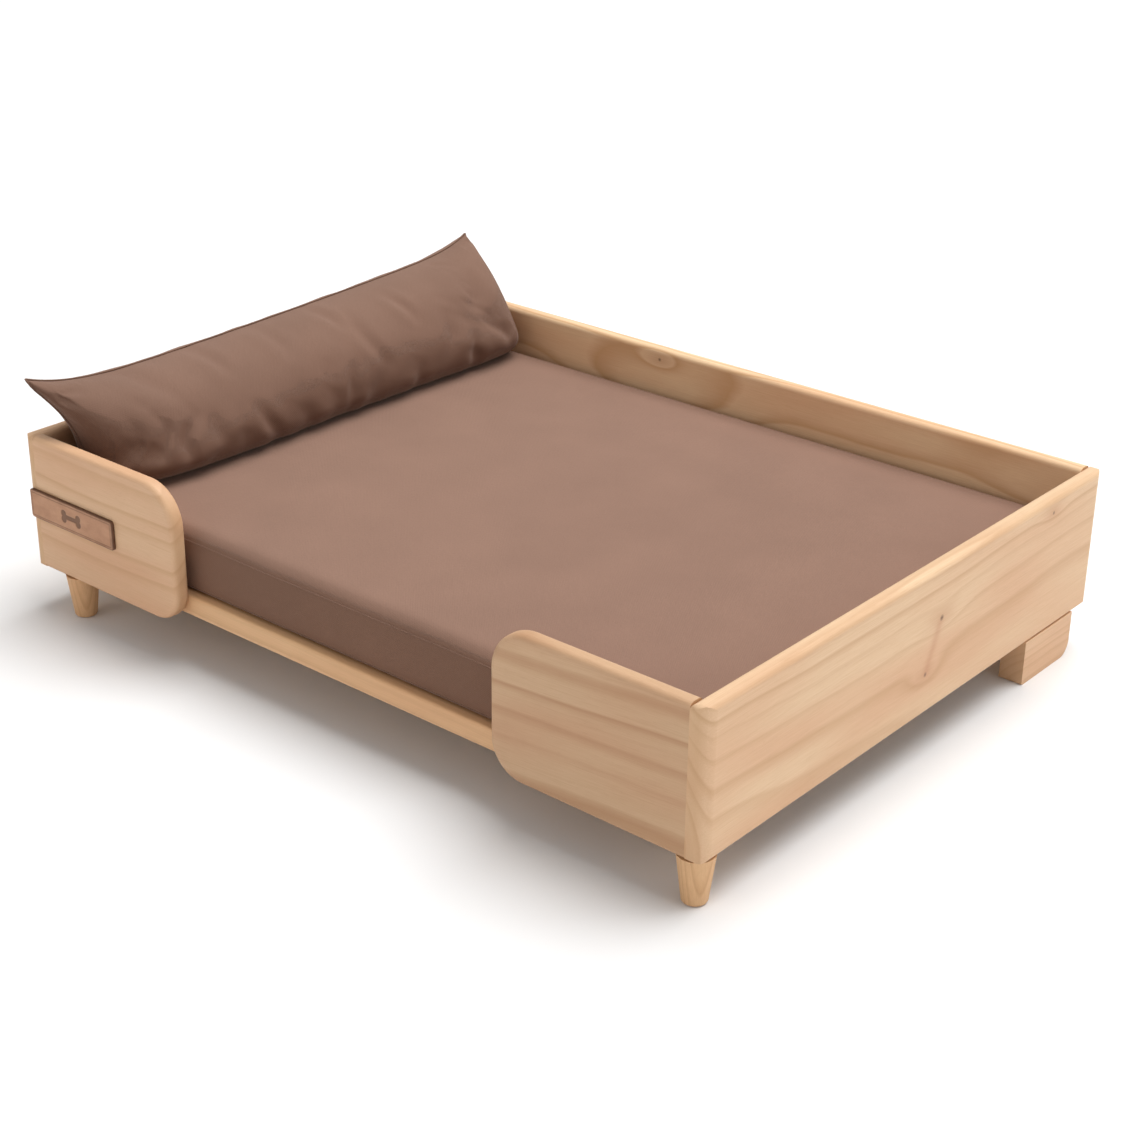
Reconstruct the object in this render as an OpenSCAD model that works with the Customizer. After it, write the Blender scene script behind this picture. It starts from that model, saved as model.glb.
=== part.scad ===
// Raised dog bed: a low pine tray on four short legs, with a mattress on slats and a bolster pillow.
// The origin is on the floor under the middle of the frame. +X is along the length, to the right seen
// from the open front, +Y is to the back, and +Z is up. Millimetres.

/* [Frame] */
// Length of the frame, over both end boards
frame_l = 609.6; // [480:0.1:900]
// Width of the frame, from the front face to the back face
frame_w = 457.2; // [360:0.1:700]
// Height of the boards
board_h = 101.6; // [85:0.1:160]
// Thickness of the boards
board_t = 12; // [12:0.5:16]
// Radius on the long edges of the boards
edge_r = 4; // [2:0.5:5]
// Radius on the upright outer corners of the frame
corner_r = 10; // [6:0.5:11]
// Width of the step-in gap between the two front boards
gap_w = 288; // [200:1:400]
// Radius of the front boards' upper corners at the gap
gap_top_r = 30; // [10:1:40]
// Radius of the front boards' lower corners at the gap
gap_foot_r = 25; // [10:1:40]

/* [Legs] */
// Height of the legs, from the floor to the boards
leg_h = 33; // [25:1:80]
// Diameter of a front leg at its top
leg_top_d = 24; // [22:0.5:24]
// Diameter of a front leg at the floor
leg_foot_d = 16.5; // [14:0.5:20]
// Distance of the front left leg's centre from the left end
left_leg_inset = 40; // [30:1:45]
// Length of a rear block leg along the end board
block_l = 65; // [50:1:90]
// Thickness of a rear block leg
block_t = 18; // [14:0.5:22]
// Distance from the back of the frame to the block leg
block_back = 23.6; // [16:0.1:40]
// Radius of the block leg's lower rear corner
block_r = 11; // [3:1:14]

/* [Slatted base] */
// Depth of a rail, from the boards to its inner side
rail_w = 30; // [26:1:40]
// Height of a rail
rail_h = 14; // [13:0.5:20]
// Height of the rails' underside above the boards' lower edge
rail_drop = 6; // [5:0.5:10]
// Width of a rail's raised lip in front of the slat ends
rail_lip = 10; // [10:0.5:14]
// Thickness of a slat
slat_t = 8; // [6:0.5:9]
// Width of a slat
slat_w = 60; // [40:1:60]
// Side of a corner plate
plate_side = 60; // [50:1:70]

/* [Dowels and screws] */
// Diameter of the dowels
dowel_d = 6; // [5:0.5:6]
// Shank diameter of the slat and plate screws
screw_d = 3; // [2.5:0.5:3.5]
// Shank diameter of the screws in the front legs
leg_screw_d = 4; // [3.5:0.5:4.5]

/* [Leather label] */
// Length of the label
label_l = 92; // [60:1:110]
// Height of the label
label_h = 22; // [14:1:30]
// Thickness of the leather
label_t = 2.5; // [1.5:0.1:3.5]
// Distance of the label from the left end of the frame
label_inset = 6; // [5:0.5:20]

/* [Mattress] */
// Thickness of the mattress
mattress_h = 48; // [35:1:60]
// Space between the mattress and the frame at both ends and the back
mattress_gap = 1.8; // [1:0.1:4]
// Distance from the frame's front face to the mattress
mattress_front = 19.6; // [14:0.1:30]
// Radius of the mattress's long edges
mattress_edge_r = 7; // [4:0.5:12]
// Radius of the mattress's upright corners
mattress_corner_r = 16; // [13:1:30]
// Thickness of the cover fabric with its lining
cover_t = 1.5; // [1:0.1:2.5]

/* [Bolster] */
// Height of the bolster above the mattress at its front end
bolster_h = 66; // [55:1:90]
// How much higher the bolster's back end is than its front end
bolster_rise = 12; // [0:1:20]
// Height of the pointed upper corners above the upper seam
bolster_ear = 7.5; // [0:0.5:15]
// Depth of the bolster's belly in front of its seam line
bolster_belly = 62; // [40:1:70]
// Distance of the bolster's lower seam from the end board
bolster_seat = 30; // [24:1:40]
// Distance of the bolster's upper seam from the end board
bolster_lean = 10; // [4:1:20]
// Space between each end of the bolster and the front and back boards
bolster_end_gap = 1.5; // [1:0.5:10]

/* [Zips] */
// Width of the channel that a zip lies in
zip_w = 9; // [8:0.5:12]
// Depth of the channel that a zip lies in
zip_depth = 3.2; // [3:0.1:4]
// Length of the mattress's zip
mattress_zip_l = 420; // [200:5:440]
// Length of the bolster's zip
bolster_zip_l = 300; // [150:5:320]
// Length of a zip's slider
slider_l = 10; // [8:0.5:14]

/* [Hidden] */
$fn = 48;

// Clearances between pieces
glue_gap = 0.5;      // glue room past the end of a dowel
screw_room = 0.25;   // around a screw's shank in the piece that it clamps
slat_end_gap = 0.3;  // between a slat's end and the rail's lip
rest_gap = 0.3;      // between soft pieces and what they rest on
fill_gap = 0.1;      // between a cover and what fills it
slider_gap = 0.3;    // around a zip's slider

// Half sizes of the frame, and of the space inside its boards
half_l = frame_l / 2;
half_w = frame_w / 2;
in_l = half_l - board_t;
in_w = half_w - board_t;
board_z = leg_h;

// Heights of the slatted base
rail_z = board_z + rail_drop;
base_z = rail_z + rail_h;
ledge_z = base_z - slat_t;

// Slats, evenly spaced between the end boards
slat_n = 7;
slat_space = (2 * in_l - slat_n * slat_w) / (slat_n + 1);
slat_reach = in_w - rail_lip - slat_end_gap;
slat_screw_y = in_w - (rail_lip + rail_w) / 2;
slat_screw_x = slat_w / 4;
slat_arris = 1.5;
function slat_x(i) = -in_l + slat_space + slat_w / 2 + (i - 1) * (slat_w + slat_space);

// Front legs: both stand flush with the front face, the right one under the corner
leg_r = leg_top_d / 2;
leg_y = -half_w + leg_r;
left_leg_x = -half_l + left_leg_inset;
right_leg_x = half_l - leg_r;
leg_foot_round = 2.5;
leg_dowel_back = 2;  // from the front right leg's axis back to its dowel

// Leg screws go down through the rail's lip, beside the middle of each leg
leg_screw_head_d = 7.5;
leg_screw_bite = 18;
leg_screw_l = rail_h + rail_drop + leg_screw_bite;
leg_screw_y = -in_w + rail_lip / 2;
leg_screw_clear = 0.75;
right_screw_x = min(right_leg_x, in_l - leg_screw_head_d / 2 - leg_screw_clear);

// Block legs
block_y0 = half_w - block_back - block_l;
block_dowel_inset = 15;
block_front_r = 2;

// Corner plates
plate_cut_share = 0.58;  // part of the plate's side that is cut off at its inner corner
plate_cut = plate_cut_share * plate_side;
plate_screw_inset = 10;
plate_screw_edge = 4.5;  // from the plate screws to the rail's inner side
plate_screw_y = in_w - rail_w + plate_screw_edge;
screw_point_gap = 1.2;  // wood left past a screw's point
plate_screw_l = rail_drop + (rail_h - slat_t) - screw_point_gap;

// Dowels
dowel_r = dowel_d / 2;
dowel_fit = 0.05;
end_grain_depth = 16;
face_depth = 8;
edge_depth = 15;
corner_dowel_z = [0.2, 0.5, 0.8];
front_rail_dowel_x = [0.58, 0.79];
back_rail_dowel_x = [0.25, 0.75];

// Screws
head_share = 2.2;  // head diameter of a small screw over its shank diameter
screw_head_d = head_share * screw_d;
slat_screw_l = rail_h - screw_point_gap;
head_angle_h = 0.5;  // height of a head over the difference of its diameters
slot_share = 0.6;    // length of a cross slot over the head diameter
point_d = 0.4;
slot_w = 0.9;
slot_depth = 1.2;

// Label
label_z = board_z + board_h / 2;
label_corner = 2;

// Mattress
mattress_z = base_z + rest_gap;
mattress_top = mattress_z + mattress_h;
mattress_x = in_l - mattress_gap;
mattress_y0 = -half_w + mattress_front;
mattress_y1 = in_w - mattress_gap;
mattress_zip_z = mattress_z + mattress_h / 2;

// Bolster: a pillow that stands on its long seam and leans on the left end board
foot_z = mattress_top + rest_gap;
wall_x = -in_l + rest_gap;
seat_x = wall_x + bolster_seat;
lean_x = wall_x + bolster_lean;
bolster_half = in_w - bolster_end_gap;
end_pinch = 0.25;    // share of the fullness lost at the very ends
pinch_power = 12;    // how suddenly it is lost
foot_bend = 0.2;     // share of the height over which the belly is tucked in at the foot
foot_tuck = 0.56;    // share of the belly tucked in, mid length
end_tuck = 0.28;     // the same at the ends
tuck_power = 3;
belly_power = 2.5;   // roundness of the front
hollow_power = 3;    // roundness of the back
ear_power = 8;       // how close to the ends the pointed corners begin
seam_half = 1.6;     // half thickness of the seams
rings = 20;
steps = 9;

// Zips
tape_t = 0.8;
teeth_w = 2.4;
teeth_h = 0.7;
zip_lip = 1.5;
stop_l = 2;
stop_gap = 1;       // from a closed slider to the stop at the zip's end
slider_sink = 0.4;  // how far a slider's top lies below the cover
slider_over = 0.2;  // from the teeth up to a slider's plate
slider_side = 0.9;  // from a slider to the side of its channel

// ---- Shared shapes ----

// Rectangle from the origin with its own radius in each corner: [left low, right low, right high, left high]
module panel(w, h, r) {
    pts = concat(
        r[0] > 0 ? [[0, r[0]], [r[0], 0]] : [[0, 0]],
        r[1] > 0 ? [[w - r[1], 0], [w, r[1]]] : [[w, 0]],
        r[2] > 0 ? [[w, h - r[2]], [w - r[2], h]] : [[w, h]],
        r[3] > 0 ? [[r[3], h], [0, h - r[3]]] : [[0, h]]
    );
    centres = [[r[0], r[0]], [w - r[1], r[1]], [w - r[2], h - r[2]], [r[3], h - r[3]]];
    union() {
        polygon(pts);
        for (i = [0:3]) if (r[i] > 0) translate(centres[i]) circle(r[i]);
    }
}

// Disc with rounded rims
module eased_disc(r, t, e) {
    rotate_extrude($fn = 96) intersection() {
        union() {
            square([r - e, t]);
            translate([0, e]) square([r, t - 2 * e]);
            for (z = [e, t - e]) translate([r - e, z]) circle(e);
        }
        square([r, t]);
    }
}

// Bar from the origin along +X with the same rounded rims, centred on Y
module eased_bar(length, t, e) {
    rotate([90, 0, 90]) linear_extrude(length) union() {
        translate([-e, e]) square([2 * e, t - 2 * e]);
        for (z = [e, t - e]) translate([0, z]) circle(e);
    }
}

// Plate w by h by t from the origin, with a radius in each corner and every edge eased by e
module eased_plate(w, h, t, e, r) {
    centres = [[r[0], r[0]], [w - r[1], r[1]], [w - r[2], h - r[2]], [r[3], h - r[3]]];
    linear_extrude(t) polygon([
        [e, r[0]], [r[0], e], [w - r[1], e], [w - e, r[1]],
        [w - e, h - r[2]], [w - r[2], h - e], [r[3], h - e], [e, h - r[3]]
    ]);
    for (i = [0:3]) translate(centres[i]) eased_disc(r[i], t, e);
    translate([r[0], e, 0]) eased_bar(w - r[0] - r[1], t, e);
    translate([r[3], h - e, 0]) eased_bar(w - r[2] - r[3], t, e);
    translate([e, r[0], 0]) rotate([0, 0, 90]) eased_bar(h - r[0] - r[3], t, e);
    translate([w - e, r[1], 0]) rotate([0, 0, 90]) eased_bar(h - r[1] - r[2], t, e);
}

// Round pin along +X from x0 to x1
module pin_x(x0, x1, r) {
    translate([x0, 0, 0]) rotate([0, 90, 0]) cylinder(h = x1 - x0, r = r);
}

// Round pin along +Y from y0 to y1
module pin_y(y0, y1, r) {
    translate([0, y0, 0]) rotate([-90, 0, 0]) cylinder(h = y1 - y0, r = r);
}

// Countersunk screw that hangs below the origin: the head is flush at z = 0. As a hole, slot is false.
module screw(d, head_d, length, slot = true) {
    head_h = (head_d - d) * head_angle_h;
    difference() {
        union() {
            translate([0, 0, -head_h]) cylinder(h = head_h, d1 = d, d2 = head_d);
            translate([0, 0, -length + d]) cylinder(h = length - d - head_h / 2, d = d);
            translate([0, 0, -length]) cylinder(h = d, d1 = point_d, d2 = d);
        }
        if (slot) for (a = [0, 90]) rotate([0, 0, a])
            translate([-slot_share * head_d / 2, -slot_w / 2, -slot_depth])
                cube([slot_share * head_d, slot_w, slot_depth + 1]);
    }
}

// ---- Dowels and screws: the same places serve the pins and their holes ----

// Three dowels in each corner joint, along X
module corner_pins(side, y, extra, r) {
    for (k = corner_dowel_z) translate([0, y, board_z + k * board_h]) mirror([side < 0 ? 1 : 0, 0, 0])
        pin_x(in_l - end_grain_depth - extra, in_l + face_depth + extra, r);
}

// Dowels between a rail and the boards in front of it (side -1) or behind it (side 1)
module rail_pins(side, extra, r) {
    rail_x = side < 0
        ? [for (m = [-1, 1], k = front_rail_dowel_x) m * k * in_l]
        : [for (m = [-1, 1], k = back_rail_dowel_x) m * k * in_l];
    for (x = rail_x) translate([x, 0, rail_z + rail_h / 2]) mirror([0, side < 0 ? 1 : 0, 0])
        pin_y(in_w - face_depth - extra, in_w + face_depth + extra, r);
}

// Upright dowels of the legs
module leg_pins(extra, r) {
    z0 = board_z - edge_depth - extra;
    pin_l = 2 * (edge_depth + extra);
    translate([left_leg_x, -half_w + board_t / 2, z0]) cylinder(h = pin_l, r = r);
    translate([half_l - board_t / 2, leg_y + leg_dowel_back, z0]) cylinder(h = pin_l, r = r);
    for (side = [-1, 1], y = [block_y0 + block_dowel_inset, block_y0 + block_l - block_dowel_inset])
        translate([side * (half_l - board_t / 2), y, z0]) cylinder(h = pin_l, r = r);
}

module dowel_holes() {
    for (side = [-1, 1], y = [-1, 1])
        corner_pins(side, y * (half_w - board_t / 2), glue_gap, dowel_r + dowel_fit);
    for (side = [-1, 1]) rail_pins(side, glue_gap, dowel_r + dowel_fit);
    leg_pins(glue_gap, dowel_r + dowel_fit);
}

// Places one slat's four screws
module at_slat_screws(i) {
    for (x = [-1, 1], y = [-1, 1])
        translate([slat_x(i) + x * slat_screw_x, y * slat_screw_y, base_z]) children();
}

// Places the two screws of one corner plate, heads down
module at_plate_screws(sx, sy) {
    for (x = [plate_screw_inset, plate_side - plate_screw_inset])
        translate([sx * (in_l - x), sy * plate_screw_y, board_z]) mirror([0, 0, 1]) children();
}

// Places the two leg screws
module at_leg_screws() {
    for (x = [left_leg_x, right_screw_x]) translate([x, leg_screw_y, base_z]) children();
}

module corner_dowels() {
    for (side = [-1, 1], y = [-1, 1]) corner_pins(side, y * (half_w - board_t / 2), 0, dowel_r);
}

module rail_dowels() {
    for (side = [-1, 1]) rail_pins(side, 0, dowel_r);
}

module slat_screws() {
    for (i = [1:slat_n]) at_slat_screws(i) screw(screw_d, screw_head_d, slat_screw_l);
}

module plate_screws() {
    for (sx = [-1, 1], sy = [-1, 1]) at_plate_screws(sx, sy) screw(screw_d, screw_head_d, plate_screw_l);
}

module leg_screws() {
    at_leg_screws() screw(leg_screw_d, leg_screw_head_d, leg_screw_l);
}

// ---- Wooden pieces ----

module end_board(side) {
    bottom_back_r = 6.5;
    small_r = 3;
    difference() {
        mirror([side < 0 ? 1 : 0, 0, 0]) intersection() {
            translate([in_l, half_w, board_z]) rotate([90, 0, 0])
                linear_extrude(frame_w) panel(board_t, board_h, [0, small_r, edge_r, edge_r]);
            translate([in_l, -half_w, board_z])
                linear_extrude(board_h) panel(board_t, frame_w, [0, corner_r, corner_r, 0]);
            translate([in_l, -half_w, board_z]) rotate([90, 0, 90])
                linear_extrude(board_t) panel(frame_w, board_h, [small_r, bottom_back_r, edge_r, edge_r]);
        }
        dowel_holes();
    }
}

module back_board() {
    small_r = 2;
    difference() {
        translate([-in_l, in_w, board_z]) rotate([90, 0, 90])
            linear_extrude(2 * in_l) panel(board_t, board_h, [small_r, small_r, edge_r, edge_r]);
        dowel_holes();
    }
}

// Short front board; the square end butts against its end board
module front_board(side) {
    spare = 30;
    board_l = in_l - gap_w / 2;
    small_r = edge_r + 1;
    difference() {
        mirror([side < 0 ? 1 : 0, 0, 0]) difference() {
            translate([gap_w / 2, -in_w, board_z]) rotate([90, 0, 0]) eased_plate(
                board_l + spare, board_h, board_t, edge_r, [gap_foot_r, small_r, small_r, gap_top_r]
            );
            translate([in_l, -half_w - 1, board_z - 1]) cube([spare + 1, board_t + 2, board_h + 2]);
        }
        dowel_holes();
    }
}

// Rail with a ledge for the slat ends; side -1 is the front rail
module rail(side) {
    arris = 2;
    difference() {
        mirror([0, side < 0 ? 1 : 0, 0]) difference() {
            translate([-in_l, in_w - rail_w, rail_z]) rotate([90, 0, 90])
                linear_extrude(2 * in_l) panel(rail_w, rail_h, [arris, 0, arris, 0]);
            translate([-in_l - 1, in_w - rail_w - 1, ledge_z])
                cube([2 * in_l + 2, rail_w - rail_lip + 1, slat_t + 1]);
        }
        rail_pins(side, glue_gap, dowel_r + dowel_fit);
        for (i = [1:slat_n]) at_slat_screws(i) screw(screw_d, screw_head_d, slat_screw_l, false);
        for (sx = [-1, 1]) at_plate_screws(sx, side)
            screw(screw_d, screw_head_d, plate_screw_l, false);
        if (side < 0) at_leg_screws() screw(leg_screw_d, leg_screw_head_d, leg_screw_l, false);
    }
}

module slat(i) {
    difference() {
        translate([slat_x(i) - slat_w / 2, slat_reach, ledge_z]) rotate([90, 0, 0])
            linear_extrude(2 * slat_reach) panel(slat_w, slat_t, [0, 0, slat_arris, slat_arris]);
        at_slat_screws(i) {
            screw(screw_d, screw_head_d, slat_screw_l, false);
            translate([0, 0, -slat_t - 1]) cylinder(h = slat_t, r = screw_d / 2 + screw_room);
        }
    }
}

// Thin plate under the rails in one corner, with its inner corner cut off
module corner_plate(sx, sy) {
    difference() {
        mirror([sx < 0 ? 1 : 0, 0, 0]) mirror([0, sy < 0 ? 1 : 0, 0]) translate([in_l, in_w, board_z])
            linear_extrude(rail_drop) polygon([
                [0, 0], [-plate_side, 0], [-plate_side, plate_cut - plate_side],
                [plate_cut - plate_side, -plate_side], [0, -plate_side]
            ]);
        at_plate_screws(sx, sy) screw(screw_d, screw_head_d, plate_screw_l, false);
        if (sy < 0) at_leg_screws() screw(leg_screw_d, leg_screw_head_d, leg_screw_l, false);
    }
}

// Turned front leg
module front_leg(x) {
    foot_r = leg_foot_d / 2;
    difference() {
        translate([x, leg_y, 0]) rotate_extrude($fn = 96) intersection() {
            union() {
                polygon([
                    [0, 0], [foot_r - leg_foot_round, 0], [foot_r, leg_foot_round], [leg_r, leg_h], [0, leg_h]
                ]);
                translate([foot_r - leg_foot_round, leg_foot_round]) circle(leg_foot_round);
            }
            square([leg_r, leg_h]);
        }
        leg_pins(glue_gap, dowel_r + dowel_fit);
        at_leg_screws() screw(leg_screw_d, leg_screw_head_d, leg_screw_l, false);
    }
}

// Block leg under an end board, flush with its outer face
module block_leg(side) {
    difference() {
        mirror([side < 0 ? 1 : 0, 0, 0]) translate([half_l - block_t, block_y0, 0]) rotate([90, 0, 90])
            linear_extrude(block_t) panel(block_l, leg_h, [block_front_r, block_r, 0, 0]);
        leg_pins(glue_gap, dowel_r + dowel_fit);
    }
}

module leather_label() {
    translate([-half_l + label_inset, -half_w, label_z - label_h / 2]) rotate([90, 0, 0])
        linear_extrude(label_t) panel(label_l, label_h, [for (i = [0:3]) label_corner]);
}

// ---- Zips: the outer surface of the cover is z = 0, the zip runs along X and lies below z = 0 ----

module zip_room(length, margin) {
    translate([-length / 2 - margin, -zip_w / 2 - margin, -zip_depth])
        cube([length + 2 * margin, zip_w + 2 * margin, zip_depth + 2]);
}

module zip_tape(length) {
    translate([-length / 2, -zip_w / 2, -zip_depth]) cube([length, zip_w, tape_t]);
    translate([-length / 2 + stop_l, -teeth_w / 2, -zip_depth + tape_t])
        cube([length - 2 * stop_l, teeth_w, teeth_h]);
    for (x = [-length / 2, length / 2 - stop_l])
        translate([x, -teeth_w, -zip_depth + tape_t]) cube([stop_l, 2 * teeth_w, teeth_h]);
}

// Slider without a pull: a plate over the teeth with a flange on each side of them
module zip_slider() {
    top_z = -slider_sink;
    plate_z = -zip_depth + tape_t + teeth_h + slider_over;
    foot = -zip_depth + tape_t + slider_gap;
    wide = zip_w - 2 * slider_side;
    flange = wide / 2 - teeth_w / 2 - slider_gap;
    translate([-slider_l / 2, -wide / 2, plate_z]) cube([slider_l, wide, top_z - plate_z]);
    for (y = [-wide / 2, wide / 2 - flange])
        translate([-slider_l / 2, y, foot]) cube([slider_l, flange, plate_z - foot]);
}

// Slider at the closed end of the zip, which is its +X end
module closed_slider(length) {
    translate([length / 2 - stop_l - slider_l / 2 - stop_gap, 0, 0]) zip_slider();
}

// The mattress's zip lies in its back face, the bolster's in its foot
module at_mattress_zip() {
    translate([0, mattress_y1, mattress_zip_z]) rotate([-90, 0, 0]) children();
}

module at_bolster_zip() {
    translate([seat_x, 0, foot_z]) rotate([0, 180, 90]) children();
}

// ---- Mattress ----

// Rounded slab of the mattress, with every side moved in by inset: its plan cut by its two side views
module mattress_slab(inset) {
    w = 2 * (mattress_x - inset);
    d = mattress_y1 - mattress_y0 - 2 * inset;
    h = mattress_h - 2 * inset;
    r = mattress_corner_r - inset;
    e = mattress_edge_r - inset;
    translate([-mattress_x + inset, mattress_y0 + inset, mattress_z + inset]) intersection() {
        linear_extrude(h) panel(w, d, [r, r, r, r]);
        translate([0, d, 0]) rotate([90, 0, 0]) linear_extrude(d) panel(w, h, [e, e, e, e]);
        rotate([90, 0, 90]) linear_extrude(w) panel(d, h, [e, e, e, e]);
    }
}

module mattress_cover() {
    difference() {
        mattress_slab(0);
        difference() {
            mattress_slab(cover_t);
            at_mattress_zip() zip_room(mattress_zip_l, zip_lip);
        }
        at_mattress_zip() translate([0, 0, -fill_gap]) zip_room(mattress_zip_l, 0);
    }
}

module mattress_foam() {
    difference() {
        mattress_slab(cover_t + fill_gap);
        at_mattress_zip() translate([0, 0, -fill_gap]) zip_room(mattress_zip_l, zip_lip + fill_gap);
    }
}

// ---- Bolster ----

// How full the pillow is at v, which runs from -1 at its front end to 1 at its back end
function fullness(v) = 1 - end_pinch * pow(abs(v), pinch_power);

// How far the belly is tucked in at the foot, less at the two ends
function tuck(v) = foot_tuck - (foot_tuck - end_tuck) * pow(abs(v), tuck_power);

// Depth of the belly in front of the seam line at s, from 0 at the foot to 1 at the upper seam
function belly(v, s) = bolster_belly * fullness(v) * sqrt(1 - pow(s, belly_power))
    * (s < foot_bend ? 1 - tuck(v) * pow(1 - s / foot_bend, 2) : 1);

// Depth of the back behind the seam line
function hollow(v, s) = bolster_seat * fullness(v) * sqrt(1 - pow(s, hollow_power));

// Upper seam's height at v, higher towards the back and at the two pointed corners
function seam_z(v) = foot_z + bolster_h + bolster_rise * (v + 1) / 2 + bolster_ear * pow(abs(v), ear_power);

function seam_x(s) = seat_x + (lean_x - seat_x) * s;

// One ring of points: up the front, then down the back, moved in by inset
function ring(v, inset) =
    let (z0 = foot_z + inset, z1 = seam_z(v) - 2 * inset, y = v * bolster_half)
    concat(
        [for (i = [0:steps]) let (s = i / steps)
            [seam_x(s) + max(seam_half, belly(v, s)) - inset, y, z0 + (z1 - z0) * s]],
        [for (i = [steps:-1:0]) let (s = i / steps)
            [max(wall_x, seam_x(s) - max(seam_half, hollow(v, s))) + inset, y, z0 + (z1 - z0) * s]]
    );

// Pillow-shaped solid, with every side moved in by inset
module pillow(inset) {
    n = 2 * steps + 2;
    last = rings * n;
    reach = 1 - inset / bolster_half;
    points = [for (j = [0:rings]) let (v = (2 * j / rings - 1) * reach) each ring(v, inset)];
    sides = [for (j = [0:rings - 1], k = [0:n - 1]) let (a = j * n + k, b = j * n + (k + 1) % n)
        each [[a, b, a + n], [b, b + n, a + n]]];
    ends = [for (i = [0:steps - 1]) let (a = i, b = i + 1, c = n - 2 - i, d = n - 1 - i)
        each [[c, b, a], [d, c, a], [last + a, last + b, last + c], [last + a, last + c, last + d]]];
    polyhedron(points, concat(sides, ends));
}

module bolster_cover() {
    difference() {
        pillow(0);
        difference() {
            pillow(cover_t);
            at_bolster_zip() zip_room(bolster_zip_l, zip_lip);
        }
        at_bolster_zip() translate([0, 0, -fill_gap]) zip_room(bolster_zip_l, 0);
    }
}

module bolster_filling() {
    difference() {
        pillow(cover_t + fill_gap);
        at_bolster_zip() translate([0, 0, -fill_gap]) zip_room(bolster_zip_l, zip_lip + fill_gap);
    }
}

// ---- Nodes ----

color("burlywood") end_board(-1);  // left_end_board
color("burlywood") end_board(1);  // right_end_board
color("burlywood") back_board();
color("burlywood") front_board(-1);  // front_left_board
color("burlywood") front_board(1);  // front_right_board
color("burlywood") rail(-1);  // front_rail
color("burlywood") rail(1);  // back_rail
color("wheat") slat(1);  // slat_1
color("wheat") slat(2);  // slat_2
color("wheat") slat(3);  // slat_3
color("wheat") slat(4);  // slat_4
color("wheat") slat(5);  // slat_5
color("wheat") slat(6);  // slat_6
color("wheat") slat(7);  // slat_7
color("tan") corner_plate(-1, -1);  // front_left_plate
color("tan") corner_plate(1, -1);  // front_right_plate
color("tan") corner_plate(-1, 1);  // rear_left_plate
color("tan") corner_plate(1, 1);  // rear_right_plate
color("peru") front_leg(left_leg_x);  // front_left_leg
color("peru") front_leg(right_leg_x);  // front_right_leg
color("peru") block_leg(-1);  // rear_left_leg
color("peru") block_leg(1);  // rear_right_leg
color("tan") corner_dowels();
color("tan") rail_dowels();
color("tan") leg_pins(0, dowel_r);  // leg_dowels
color("goldenrod") slat_screws();
color("goldenrod") plate_screws();
color("goldenrod") leg_screws();
color("sienna") leather_label();
color("rosybrown") mattress_cover();
color("ivory") mattress_foam();
color("dimgray") at_mattress_zip() zip_tape(mattress_zip_l);  // mattress_zip_tape
color("silver") at_mattress_zip() closed_slider(mattress_zip_l);  // mattress_zip_slider
color("rosybrown") bolster_cover();
color("white") bolster_filling();
color("dimgray") at_bolster_zip() zip_tape(bolster_zip_l);  // bolster_zip_tape
color("silver") at_bolster_zip() closed_slider(bolster_zip_l);  // bolster_zip_slider
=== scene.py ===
# %% [markdown]
# # A raised dog bed
# A low pine tray on four short legs carries a slatted base, a foam mattress in a brown cover and a
# long bolster pillow. The hard parts come ready made with exact sizes; this lesson gives them wood,
# leather and metal, and sews the soft parts. Everything is in metres, and the floor is z = 0.

# %% Load the frame
import math
import bmesh
import bpy
import numpy as np
from mathutils import Euler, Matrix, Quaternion, Vector
from mathutils.bvhtree import BVHTree


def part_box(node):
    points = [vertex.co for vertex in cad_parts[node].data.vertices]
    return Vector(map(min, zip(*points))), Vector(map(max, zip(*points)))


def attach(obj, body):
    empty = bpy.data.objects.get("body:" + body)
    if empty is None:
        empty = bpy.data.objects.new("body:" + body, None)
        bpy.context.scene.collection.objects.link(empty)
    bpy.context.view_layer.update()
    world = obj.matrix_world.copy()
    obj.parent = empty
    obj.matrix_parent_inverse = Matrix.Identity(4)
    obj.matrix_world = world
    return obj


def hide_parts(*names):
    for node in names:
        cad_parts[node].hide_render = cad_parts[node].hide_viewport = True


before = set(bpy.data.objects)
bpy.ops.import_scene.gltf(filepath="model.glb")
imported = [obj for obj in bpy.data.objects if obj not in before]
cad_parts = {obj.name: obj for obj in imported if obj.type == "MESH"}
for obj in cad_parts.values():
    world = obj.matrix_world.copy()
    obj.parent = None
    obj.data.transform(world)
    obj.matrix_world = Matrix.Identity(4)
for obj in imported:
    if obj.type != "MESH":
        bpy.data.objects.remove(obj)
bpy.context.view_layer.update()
MM = 0.001
scene = bpy.context.scene

# %% [markdown]
# ## Writing finishes as formulas
# A finish is a network of nodes. Drawing it by hand is slow to read and to change, so a small class
# wraps a socket: adding, multiplying or comparing two wrapped sockets adds the Math node for it.
# Every other node comes from one method that takes its type, its settings and its inputs.


# %% Formula helpers
def plug(tree, slot, value):
    """Links a wire to a slot, or sets the slot to a plain value."""
    if isinstance(value, Wire):
        tree.links.new(value.socket, slot)
    else:
        slot.default_value = value


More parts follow.
